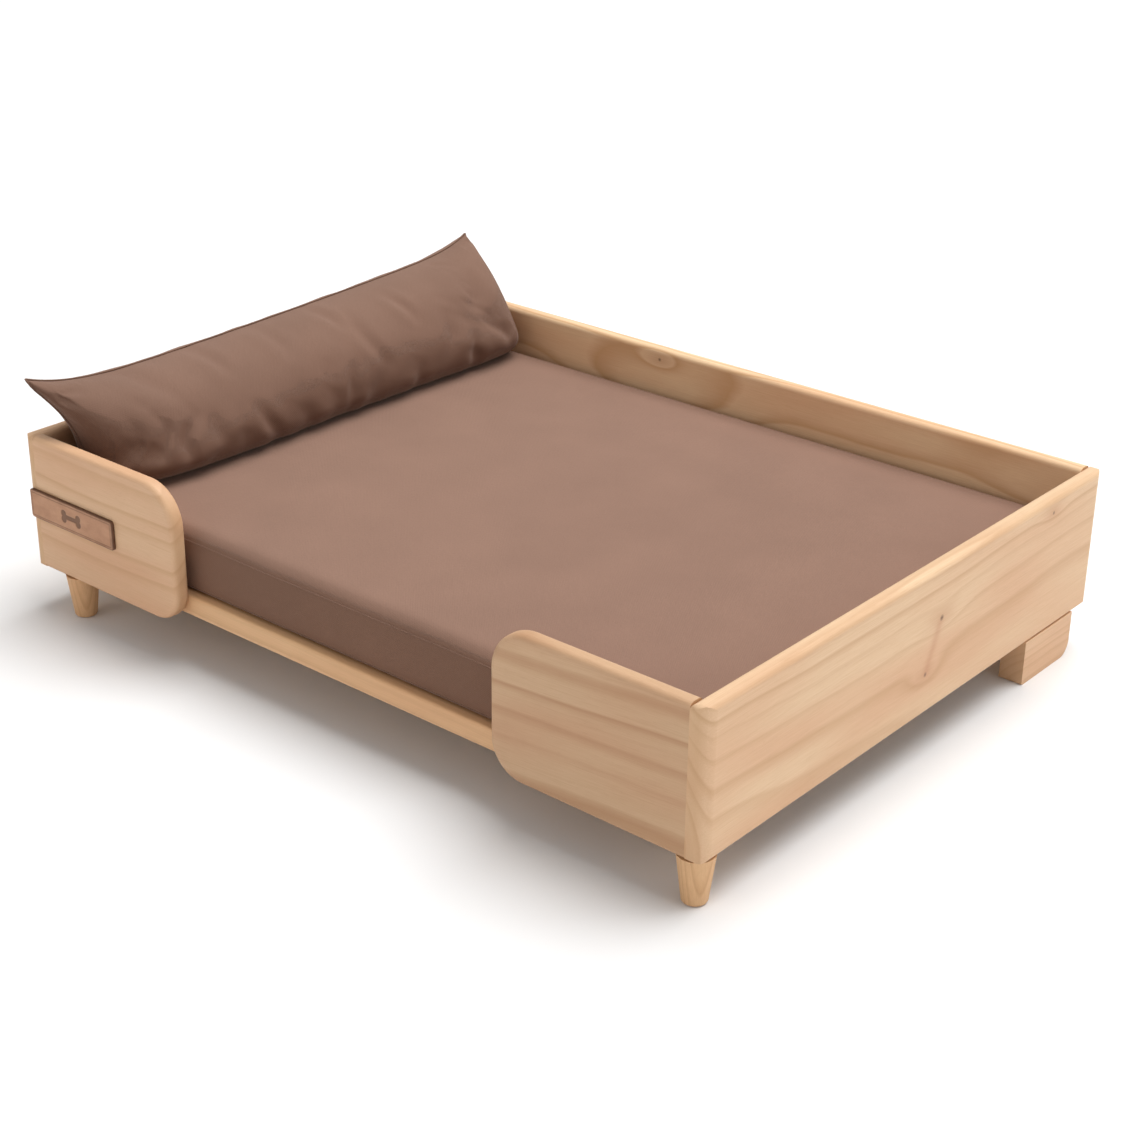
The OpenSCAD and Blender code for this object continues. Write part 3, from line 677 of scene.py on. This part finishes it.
def seam_line(v, s):
    """A point of the seam surface between the two panels, in mm."""
    back = (v + 1) / 2
    front_share, back_share = np.clip(-v, 0, 1) ** 7, np.clip(v, 0, 1) ** 7
    x_mid = SEAT_X - 20 * s
    x_front = SEAT_X - 36 * s ** 2.2
    x_back = SEAT_X - 24 * s ** 1.4
    x = x_mid + (x_front - x_mid) * front_share + (x_back - x_mid) * back_share
    sag = 2.0 * (1 - v * v)
    top = FOOT_Z + 66 + 12 * back + 8.5 * np.abs(v) ** 9 - sag
    reach = np.where(v < 0, 211 + 15 * s ** 1.9 - 7 * np.sin(math.pi * np.clip(s * 1.1, 0, 1)),
                     SEAM_HALF + 2.5 * s ** 2)
    return x, v * reach, FOOT_Z + (top - FOOT_Z) * s


def stuffed(v, s):
    """How full the bolster is at v, s: 1 in the middle and 0 at the end seams."""
    power = np.where(v < 0, 7 + 3 * s, 20 - 8 * s)
    return (1 - np.abs(v) ** power) ** np.where(v < 0, 0.5, 0.42)


def panel_point(v, s, front):
    """A point on the front or the back panel of the stuffed bolster, in mm."""
    x, y, z = seam_line(v, s)
    full = stuffed(v, s)
    tuck = (0.56 - 0.28 * np.abs(v) ** 3) * np.clip(1 - s / TUCK_END, 0, 1) ** 2.2
    if front:
        depth = FRONT_DEEP * full * np.sqrt(np.clip(1 - s ** 2.3, 0, 1))
        return x + depth * (1 - tuck), y, z
    depth = BACK_DEEP * full * np.sqrt(np.clip(1 - s ** 3.0, 0, 1))
    return np.maximum(x - depth, WALL_X - 9 * np.clip((z - BOARD_TOP) / 12, 0, 1)), y, z


print("fullest part of the bolster in mm:", FRONT_DEEP + BACK_DEEP)

# %% [markdown]
# The tube of panels is woven from rings of points. Each ring starts in the middle of the foot, goes
# up the front panel to the upper seam and comes down the back panel. The zip lies in a channel along
# the foot, so the first points on either side keep to its walls.

# %% Bolster rings
RINGS, RISE = 132, 30
lengthwise = np.sin(np.linspace(-1, 1, RINGS + 1) * math.pi / 2 * 0.86) / math.sin(math.pi / 2 * 0.86)
climb = 1 - (1 - np.linspace(0, 1, RISE + 1)) ** 1.5
CHANNEL = (BZIP_HIGH[0] - BZIP_LOW[0]) / 2 + 0.3
CHANNEL_DEEP, CHANNEL_LIP, FOOT_WIDENS = 3.5, 0.3, 14
channel_y = (BZIP_HIGH[1] - BZIP_LOW[1]) / 2 + 0.3
channel_ends = [round(side * (channel_y + gap) / SEAM_HALF, 6) for side in (-1, 1) for gap in (0.0, 0.4)]
lengthwise = np.array(sorted({*lengthwise.round(6), *channel_ends}))


def ring_of(v):
    """One closed ring: foot, front panel, upper seam, back panel; each point with how firmly it is held."""
    open_channel = abs(v) * SEAM_HALF < channel_y + 0.2
    floor = FOOT_Z + (CHANNEL_DEEP if open_channel else 0.0)
    thin = 1 if 1 - abs(v) > 1e-6 else 0
    lip = CHANNEL + CHANNEL_LIP
    x0, y0, _ = seam_line(np.array(v), np.array(0.0))
    ring = [((x0 + share * CHANNEL * thin, y0, floor), 1.0) for share in (0.0, 1.0)]
    ring.append(((x0 + lip * thin, y0, FOOT_Z), 1.0))
    for s in climb:
        x, y, z = panel_point(np.array(v), np.array(s), True)
        x = max(x, x0 + (lip + FOOT_WIDENS * s) * thin) if s < 0.1 else x
        hold = 1.0 if s > 0.999 or not thin else 0.9 if s < 0.02 else 0.0
        ring.append(((x, y, z), hold))
    for s in climb[-2::-1]:
        x, y, z = panel_point(np.array(v), np.array(s), False)
        x = min(x, x0 - (lip + FOOT_WIDENS * s) * thin) if s < 0.1 else x
        ring.append(((x, y, z), 0.9 if s < 0.02 or not thin else 0.0))
    ring.append(((x0 - lip * thin, y0, FOOT_Z), 1.0))
    ring.append(((x0 - CHANNEL * thin, y0, floor), 1.0))
    return [tuple(float(part) for part in point) for point, _ in ring], [hold for _, hold in ring]


rings_made = [ring_of(v) for v in lengthwise]
AROUND = len(rings_made[0][0])
print(len(lengthwise), "rings of", AROUND, "points")

# %% [markdown]
# The rings are joined to a mesh. The points of the seams and of the zip's channel go into a vertex
# group, so that the simulation holds them still, and the ends, where a ring closes up, are merged.

# %% Join the rings
points = np.array([point for ring, _ in rings_made for point in ring])
held = np.array([mark for _, marks in rings_made for mark in marks])
faces = ring_faces(len(lengthwise), AROUND, caps=False)
weave = bpy.data.meshes.new("bolster_pattern")
weave.from_pydata([tuple(p * MM) for p in points], [], faces)
cloth = bpy.data.objects.new("bolster_pattern", weave)
scene.collection.objects.link(cloth)
pins = cloth.vertex_groups.new(name="sewn")
for number, mark in enumerate(held):
    if mark > 0:
        pins.add([number], float(mark), "REPLACE")
sew = bmesh.new()
sew.from_mesh(weave)
bmesh.ops.remove_doubles(sew, verts=sew.verts, dist=0.00005)
bmesh.ops.dissolve_degenerate(sew, dist=0.00001, edges=sew.edges)
bmesh.ops.recalc_face_normals(sew, faces=sew.faces)
sew.to_mesh(weave)
sew.free()
print("bolster pattern:", len(weave.vertices), "points,", len(weave.polygons), "faces")

# %% [markdown]
# ## Stuffing the bolster
# The fabric is cut a little longer than the seam that it is gathered on, so air pressure inside it
# throws up soft folds across its length. Real bolsters crease in just this way. The seams are held,
# and no point may travel further than a few millimetres.

# %% Cut the cloth
start = np.array([tuple(v.co) for v in weave.vertices])
centre = start.mean(axis=0)
cloth.shape_key_add(name="sewn_shape")
cut_key = cloth.shape_key_add(name="cut_shape")
y_mm = start[:, 1] / MM
slack = 1.045 + 0.012 * np.sin(y_mm / 31 + 0.6) + 0.008 * np.sin(y_mm / 12.5)
cut = start.copy()
cut[:, 1] = centre[1] + (start[:, 1] - centre[1]) * slack
for axis in (0, 2):
    cut[:, axis] = centre[axis] + (start[:, axis] - centre[axis]) * 1.012
cut_key.data.foreach_set("co", cut.ravel())
seeded = start.copy()
height_share = np.clip((start[:, 2] / MM - FOOT_Z) / 70, 0, 1)
free = np.zeros(len(start))
for vertex in weave.vertices:
    weight = max((g.weight for g in vertex.groups), default=0.0)
    free[vertex.index] = 1 - weight
lean = y_mm + (height_share - 0.5) * 16
ruck = (np.sin(lean / 9.2 + np.sin(lean / 47) * 2.0) * 0.55 + np.sin(lean / 4.9 + 1.0) * 0.25)
push = free * ruck * (0.35 + 0.65 * np.abs(height_share - 0.45) * 2)
seeded[:, 0] += push * MM * np.sign(start[:, 0] / MM - (SEAT_X - 12))
weave.shape_keys.key_blocks["sewn_shape"].data.foreach_set("co", seeded.ravel())
print("cloth longer than its seam by", round((slack.mean() - 1) * 100, 1), "percent")

# %% [markdown]
# Shallow ruckles were put into the starting shape, so the folds know where to begin. Now the cloth
# runs for a few frames under pressure without gravity, and the last frame is read back.

# %% Inflate the cloth
MOST_TRAVEL = 6.0 * MM
inflate = cloth.modifiers.new("stuffing", "CLOTH")
rules = inflate.settings
rules.quality = 7
rules.mass = 0.3
rules.air_damping = 2.0
rules.tension_stiffness = rules.compression_stiffness = 14.0
rules.shear_stiffness = 5.0
rules.bending_stiffness = 0.35
rules.tension_damping = rules.compression_damping = rules.shear_damping = 8.0
rules.vertex_group_mass = "sewn"
rules.pin_stiffness = 4.0
rules.rest_shape_key = cut_key
rules.use_pressure = True
rules.uniform_pressure_force = 7.0
rules.effector_weights.gravity = 0.0
inflate.collision_settings.use_collision = False
last_frame = 20
for number in range(1, last_frame + 1):
    scene.frame_set(number)
shaped = cloth.evaluated_get(bpy.context.evaluated_depsgraph_get()).to_mesh()
result = np.array([tuple(v.co) for v in shaped.vertices])
travel = result - start
far = np.linalg.norm(travel, axis=1)
print("the cloth moved by mm: mean", round(far.mean() / MM, 2), "most", round(far.max() / MM, 2))
result = start + travel * np.minimum(1, MOST_TRAVEL / np.maximum(far, 1e-9))[:, None]
scene.frame_set(1)

# %% [markdown]
# ## Creases
# Folds that stay where a bolster has been leaned on are deeper than those which air throws up. Each
# is a groove with a low ridge on either side, pressed along the surface's own direction. It fades
# out towards its two ends.

# %% Creases of the bolster
# Each crease runs from v, s to v, s on the front panel, with its depth and its width in mm.
CREASES = [
    (-0.72, 0.12, -0.70, 0.50, 2.6, 5.0), (-0.56, 0.16, -0.58, 0.52, 1.6, 6.0),
    (-0.30, 0.05, -0.40, 0.48, 2.6, 5.0), (-0.14, 0.06, -0.20, 0.34, 1.4, 6.0),
    (0.03, 0.08, 0.07, 0.52, 3.0, 4.6), (0.22, 0.42, 0.19, 0.90, 2.0, 5.0),
    (0.13, 0.06, 0.25, 0.50, 1.4, 6.5), (0.41, 0.96, 0.45, 0.70, 1.8, 4.2),
    (0.10, 0.98, 0.13, 0.78, 1.8, 4.2), (0.60, 0.70, 0.53, 0.30, 1.8, 6.0),
    (0.68, 0.08, 0.70, 0.44, 2.2, 5.0), (-0.87, 0.72, -0.90, 0.30, 1.8, 6.0),
    (-0.46, 0.97, -0.43, 0.74, 1.6, 5.0), (-0.16, 0.98, -0.17, 0.72, 1.4, 5.5),
    (0.85, 0.96, 0.74, 0.62, 1.6, 7.0), (-0.80, 0.97, -0.66, 0.72, 1.6, 7.0),
    (0.40, 0.06, 0.38, 0.30, 1.6, 5.0), (0.90, 0.12, 0.86, 0.46, 1.6, 6.0),
]
settled = result / MM
rise_of = np.clip((start[:, 2] / MM - FOOT_Z) / SEAM_RISE, 0, 1)
along_v = start[:, 1] / MM / SEAM_HALF
seam_at, _, _ = seam_line(np.clip(along_v, -1, 1), rise_of)
on_front = start[:, 0] / MM > seam_at
weave.vertices.foreach_set("co", (settled * MM).ravel())
weave.update()
outward = np.array([tuple(v.normal) for v in weave.vertices])
panel_a, panel_b = along_v * SEAM_HALF, rise_of * PANEL_RISE
dent = np.zeros(len(settled))
for v0, s0, v1, s1, depth, width in CREASES:
    ax, ay, bx, by = v0 * SEAM_HALF, s0 * PANEL_RISE, v1 * SEAM_HALF, s1 * PANEL_RISE
    length = math.hypot(bx - ax, by - ay)
    ux, uy = (bx - ax) / length, (by - ay) / length
    t = ((panel_a - ax) * ux + (panel_b - ay) * uy) / length
    bow = 3.0 * np.sin(np.clip(t, 0, 1) * math.pi)
    off = -(panel_a - ax) * uy + (panel_b - ay) * ux - bow
    fade = np.clip(1.15 - np.abs(2 * t - 1), 0, 1) ** 0.8
    groove = np.exp(-(off / width) ** 2)
    ridges = 0.5 * np.exp(-((np.abs(off) - 2.1 * width) / (1.2 * width)) ** 2)
    dent += depth * fade * (groove - ridges)
settled -= outward * (dent * on_front * free)[:, None]
print("deepest crease in mm:", round(float(dent.max()), 2))

# %% [markdown]
# ## Laying the bolster in its place
# The stuffed shape is pressed where it touches: flat on the mattress, flat on the left end board and
# on the back board. Above the boards it may hang over, which is how its front ear stands clear. One
# step of subdivision then smooths the cloth.


# %% Press and smooth the bolster
def pressed(places):
    """Moves points, in mm, out of the mattress and the boards that the bolster touches."""
    places = np.array(places, dtype=float)
    over_board = np.clip((places[:, 2] - BOARD_TOP) / 8, 0, 1)
    places[:, 0] = np.maximum(places[:, 0], WALL_X - 11 * over_board)
    side_limit = INSIDE_Y + np.where(places[:, 1] < 0, 9.0, 0.0) * over_board
    places[:, 1] = np.clip(places[:, 1], -side_limit, side_limit)
    ground = np.maximum(FOOT_Z, top_of_mattress(places[:, 0], places[:, 1]) + 0.3)
    places[:, 2] = np.maximum(places[:, 2], ground)
    return places


settled = pressed(settled)
in_zip = ((np.abs(start[:, 1] / MM) < channel_y + 0.2)
          & (np.abs(start[:, 0] / MM - SEAT_X) < CHANNEL + 0.2)
          & (start[:, 2] / MM < FOOT_Z + CHANNEL_DEEP + 0.5))
channel_walls = in_zip & (free < 0.01)
settled[channel_walls] = (start / MM)[channel_walls]
faces = [tuple(p.vertices) for p in weave.polygons]
bolster = new_piece("bolster_cover_cloth", settled, faces, bolster_brown_shaded, "bolster")
round_off = bolster.modifiers.new("finer", "SUBSURF")
round_off.levels = round_off.render_levels = 1
bpy.data.objects.remove(cloth)
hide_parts("bolster_cover")
print("bolster lies from", settled.min(axis=0).round(1), "to", settled.max(axis=0).round(1))

# %% [markdown]
# ## Foam and filling
# The pieces inside the covers are made from the same shapes, a few millimetres smaller all round, so
# they can never show through the cloth. Foam has open cells; the filling is a mass of loose fibres.


# %% Foam core
def stuffing(name, colour, grain, deep):
    """A pale, matt, lumpy filling; grain is the size of its lumps in mm."""
    made = Finish(name, Specular_IOR_Level=0.1, Subsurface_Weight=0.15)
    x, y, z = made.place()
    lumps = made.noise(x / grain, y / grain, z / grain, detail=4.0, rough=0.7)
    tone = made.mix(made.ramp(lumps, (0.35, 0.0), (0.65, 1.0)), toned(colour, 0.8), rgb(*colour))
    return made.finish(tone, 0.92 + lumps * 0.05, lumps, depth=deep, bump=0.8)


core_points, core_faces, _ = slab(inset=4.6, step=14.0, channel=False)
core = new_piece("mattress_foam_core", core_points + MATTRESS_MID, core_faces,
                 stuffing("foam", (0.80, 0.74, 0.58), 1.2, 0.0006), "mattress")
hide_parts("mattress_foam")
print("foam core:", len(core_points), "points")

# %% [markdown]
# The filling starts from the bolster's own rings, shrunk towards their middle. A point that would
# still lie too near the cloth is put a few millimetres behind it, along the cloth's own direction.

# %% Fibre filling
SHRINK, CLEARANCE = 0.84, 3.6 * MM
hull = bmesh.new()
hull.from_mesh(bolster.data)
skin = BVHTree.FromBMesh(hull)
hull.free()
inner = []
inner_v = np.linspace(-0.93, 0.95, 60)
for v in inner_v:
    ring = np.array(ring_of(float(v))[0])[::2]
    centre = ring.mean(axis=0)
    for point in ring:
        place = centre + (point - centre) * SHRINK
        place[2] = max(place[2], FOOT_Z + 6.0)
        near, normal, _, _ = skin.find_nearest(Vector(place * MM))
        outside = (Vector(place * MM) - near).dot(normal)
        if outside > -3.5 * MM:
            place = np.array(near - normal * CLEARANCE) / MM
        inner.append(place)
inner_faces = ring_faces(len(inner_v), len(inner) // len(inner_v))
filling = new_piece("bolster_fibre_filling", inner, inner_faces,
                    stuffing("fibre_fill", (0.86, 0.86, 0.84), 3.0, 0.0012), "bolster")
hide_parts("bolster_filling")
print("fibre filling:", len(inner), "points")

# %% [markdown]
# ## Seams
# Where two pieces of cloth are sewn together, the turned edges inside make a low bead. A thin tube
# laid along the sewn line shows it, on the bolster's rim and round the mattress.


# %% Seams
def tube(name, path, radius, material, body, closed=False, sides=8):
    """A thin round bead along a path in mm."""
    path = np.array(path, dtype=float)
    ahead = np.roll(path, -1, axis=0) - np.roll(path, 1, axis=0)
    if not closed:
        ahead[0], ahead[-1] = path[1] - path[0], path[-1] - path[-2]
    made = []
    for place, way in zip(path, ahead):
        way = way / max(np.linalg.norm(way), 1e-9)
        across = np.cross(way, (0.0, 0.0, 1.0) if abs(way[2]) < 0.9 else (1.0, 0.0, 0.0))
        across /= np.linalg.norm(across)
        other = np.cross(across, way)
        for k in range(sides):
            turn = math.tau * k / sides
            made.append(place + radius * (across * math.cos(turn) + other * math.sin(turn)))
    return new_piece(name, made, ring_faces(len(path), sides, closed), material, body)


rim = [seam_line(np.array(-1.0), np.array(t)) for t in np.linspace(0.03, 0.98, 24)]
crest = np.sin(np.linspace(-1, 1, 150) * 1.35) / math.sin(1.35)
rim += [seam_line(np.array(v), np.array(1.0)) for v in crest]
rim += [seam_line(np.array(1.0), np.array(t)) for t in np.linspace(0.98, 0.03, 24)]
rim = pressed([[float(c) for c in place] for place in rim])
rim[:, 2] += 0.2
bead = tube("bolster_seam_bead", rim, 0.85, bolster_brown_shaded, "bolster")
lower_line = -MATTRESS_HALF[2] + EDGE_R * RIM_SHARES[0]
for which, line in (("upper", MATTRESS_HALF[2] - EDGE_R), ("lower", lower_line)):
    loop = mattress_points[np.abs(plain[:, 2] - line) < 1e-6]
    bearing = np.arctan2(loop[:, 1] / MATTRESS_HALF[1], loop[:, 0] / MATTRESS_HALF[0])
    loop = loop[np.argsort(bearing)] + MATTRESS_MID
    bead = tube("mattress_%s_seam" % which, loop, 0.4, brown, "mattress", closed=True, sides=6)
print("seams:", len(rim), "points on the bolster's rim")

# %% [markdown]
# ## Zips
# Each zip is a woven tape with two rows of teeth that lock together, and a metal stop at either end.
# The teeth are clamped on one by one, alternately a little to the left and to the right.


# %% Zips
tape_finish = Finish("zip_tape", Specular_IOR_Level=0.2)
tx, ty, tz = tape_finish.place()
ribs = (tx * 5.2).sin() * (ty * 5.2).sin() + (tz * 5.2).sin()
fuzz = tape_finish.noise(tx, ty, tz, detail=3.0)
tape_tone = tape_finish.mix(fuzz, rgb(0.11, 0.062, 0.043), rgb(0.17, 0.10, 0.072))
tape_finish.finish(tape_tone, 0.8 + fuzz * 0.1, ribs * 0.3 + fuzz, depth=0.00015, bump=0.6)


TAPE_TOP, TOOTH_TOP, STOP_TOP = 0.78, 1.45, 1.48
TOOTH_PITCH, TOOTH_LONG, TOOTH_HALF, TOOTH_SHIFT = 1.5, 0.95, 0.95, 0.22
STOP_LONG, STOP_HALF = 2.0, 2.4


def box_faces(index):
    """The six faces of a box whose eight points start at index."""
    corners = ((0, 3, 2, 1), (4, 5, 6, 7), (0, 1, 5, 4), (1, 2, 6, 5), (2, 3, 7, 6), (3, 0, 4, 7))
    return [tuple(index + c for c in face) for face in corners]


def zip_piece(name, node, along, across, outward, sign, body):
    """Tape, teeth and stops in the place of a ready-made tape; the axes are 0, 1 or 2."""
    low, high = box_of(node)
    base = low[outward] if sign > 0 else high[outward]
    made, made_faces = [], []

    def block(a0, a1, w0, w1, h0, h1, taper=0.0):
        start_at = len(made)
        for h, t in ((h0, 0.0), (h1, taper)):
            for a, w in ((a0 + t, w0 + t), (a1 - t, w0 + t), (a1 - t, w1 - t), (a0 + t, w1 - t)):
                place = np.zeros(3)
                place[along], place[across], place[outward] = a, w, base + sign * h
                made.append(place)
        made_faces.extend(box_faces(start_at))

    centre = (low[across] + high[across]) / 2
    for side in (-1, 1):
        lines = np.linspace(low[along], high[along], 60)
        for a, b in zip(lines, lines[1:]):
            inner, outer = centre + side * 0.05, centre + side * (high[across] - low[across]) / 2
            block(a, b, min(inner, outer), max(inner, outer), 0.0, TAPE_TOP)
    metal_from = len(made_faces)
    teeth = int((high[along] - low[along] - 2 * STOP_LONG - 1) / TOOTH_PITCH)
    for number in range(teeth):
        a = low[along] + STOP_LONG + 0.6 + number * TOOTH_PITCH
        shifted = centre + (TOOTH_SHIFT if number % 2 else -TOOTH_SHIFT)
        block(a, a + TOOTH_LONG, shifted - TOOTH_HALF, shifted + TOOTH_HALF, TAPE_TOP, TOOTH_TOP, taper=0.16)
    for a in (low[along], high[along] - STOP_LONG):
        block(a, a + STOP_LONG, centre - STOP_HALF, centre + STOP_HALF, TAPE_TOP, STOP_TOP, taper=0.2)
    piece = new_piece(name, made, made_faces, tape_finish.material, body, smooth=False)
    piece.data.materials.append(slider_metal)
    marks = [0] * metal_from + [1] * (len(made_faces) - metal_from)
    piece.data.polygons.foreach_set("material_index", marks)
    fixer = bmesh.new()
    fixer.from_mesh(piece.data)
    bmesh.ops.recalc_face_normals(fixer, faces=fixer.faces)
    fixer.to_mesh(piece.data)
    fixer.free()
    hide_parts(node)
    return teeth


print("teeth:", zip_piece("mattress_zip", "mattress_zip_tape", 0, 2, 1, 1, "mattress"),
      "and", zip_piece("bolster_zip", "bolster_zip_tape", 1, 0, 2, -1, "bolster"))

# %% [markdown]
# ## The leather label
# A strip of vegetable tanned leather with burnished, darker edges. A border line and a small bone
# are pressed into it, as a maker would do with a heated stamp.

# %% Leather finish
low, high = box_of("leather_label")
LABEL_MID, LABEL_HALF = (low + high) / 2, (high - low) / 2
leather = Finish("label_leather", Specular_IOR_Level=0.35)
lx, ly, lz = leather.place()
edge_x = LABEL_HALF[0] - abs(lx - LABEL_MID[0])
edge_z = LABEL_HALF[2] - abs(lz - LABEL_MID[2])
from_edge = edge_x.at_most(edge_z)
cloudy = leather.noise(lx / 14, ly / 5, lz / 8, detail=3.0, rough=0.6)
pebble = leather.node("TexVoronoi", {"feature": "F1"}, {
    "Vector": leather.vector(lx / 0.8, ly / 0.8, lz / 0.8), "Scale": 1.0})
tanned = leather.ramp(cloudy, (0.3, 0.0), (0.7, 1.0))
hide = leather.mix(tanned, rgb(0.42, 0.21, 0.115), rgb(0.53, 0.285, 0.165))
scorch = leather.ramp((from_edge + cloudy * 1.6) / 2.4, (0.0, 1.0), (0.6, 0.5), (1.0, 0.0))
hide = leather.mix(scorch * 0.9, hide, rgb(0.085, 0.036, 0.018))
sunk = (ly - (LABEL_MID[1] - LABEL_HALF[1])).at_least(0.0) * 2.2
hide = leather.mix(sunk.at_most(0.75), hide, rgb(0.12, 0.055, 0.03))
leather.finish(hide, 0.5 + pebble * 0.15, pebble + cloudy * 0.6, depth=0.0002, bump=0.5)
print("label in mm:", (2 * LABEL_HALF).round(1))

# %% [markdown]
# The stamp is worked out as distances: to the label's edge for the border line, and to a bar with
# four round knobs for the bone. The front face of a fine grid is pushed in where they are small.

# %% Leather label
LABEL_R, BORDER_IN = 2.4, 2.2
BONE_HALF, BONE_THICK, KNOB_X, KNOB_Z, KNOB_R = 7.5, 1.7, 8.0, 2.2, 2.7
grid_x = spaced(-LABEL_HALF[0], LABEL_HALF[0], 0.6)
grid_z = spaced(-LABEL_HALF[2], LABEL_HALF[2], 0.45)
strip, strip_faces = box_grid(grid_x, np.linspace(-LABEL_HALF[1], LABEL_HALF[1], 4), grid_z)
flat = strip[:, (0, 2)]
straight = LABEL_HALF[[0, 2]] - LABEL_R
beyond = np.abs(flat) - straight
at_corner = (beyond > 0).all(axis=1)
reach = beyond.max(axis=1)
circle = beyond / np.maximum(np.hypot(*beyond.T), 1e-9)[:, None] * reach[:, None]
rounded = np.sign(flat) * (straight + circle)
strip[:, 0] = np.where(at_corner, rounded[:, 0], strip[:, 0])
strip[:, 2] = np.where(at_corner, rounded[:, 1], strip[:, 2])
rim_gap = LABEL_R - reach
front_side = strip[:, 1] < -LABEL_HALF[1] + 1e-6
ax, az = np.abs(strip[:, 0]), np.abs(strip[:, 2])
shaft = np.maximum(ax - BONE_HALF, az - BONE_THICK)
knob = np.hypot(ax - KNOB_X, az - KNOB_Z) - KNOB_R
bone = np.minimum(shaft, knob)
press_in = 0.42 * np.clip(0.5 - bone / 0.5, 0, 1)
press_in += 0.3 * np.exp(-((rim_gap - BORDER_IN) / 0.35) ** 2)
press_in += 0.55 * np.clip(1 - rim_gap / 0.9, 0, 1) ** 2
strip[front_side, 1] += press_in[front_side]
label_piece = new_piece("leather_label_pressed", strip + LABEL_MID, strip_faces, leather.material, "frame")
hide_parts("leather_label")
print("label:", len(strip), "points, pressed by up to", round(float(press_in.max()), 2), "mm")
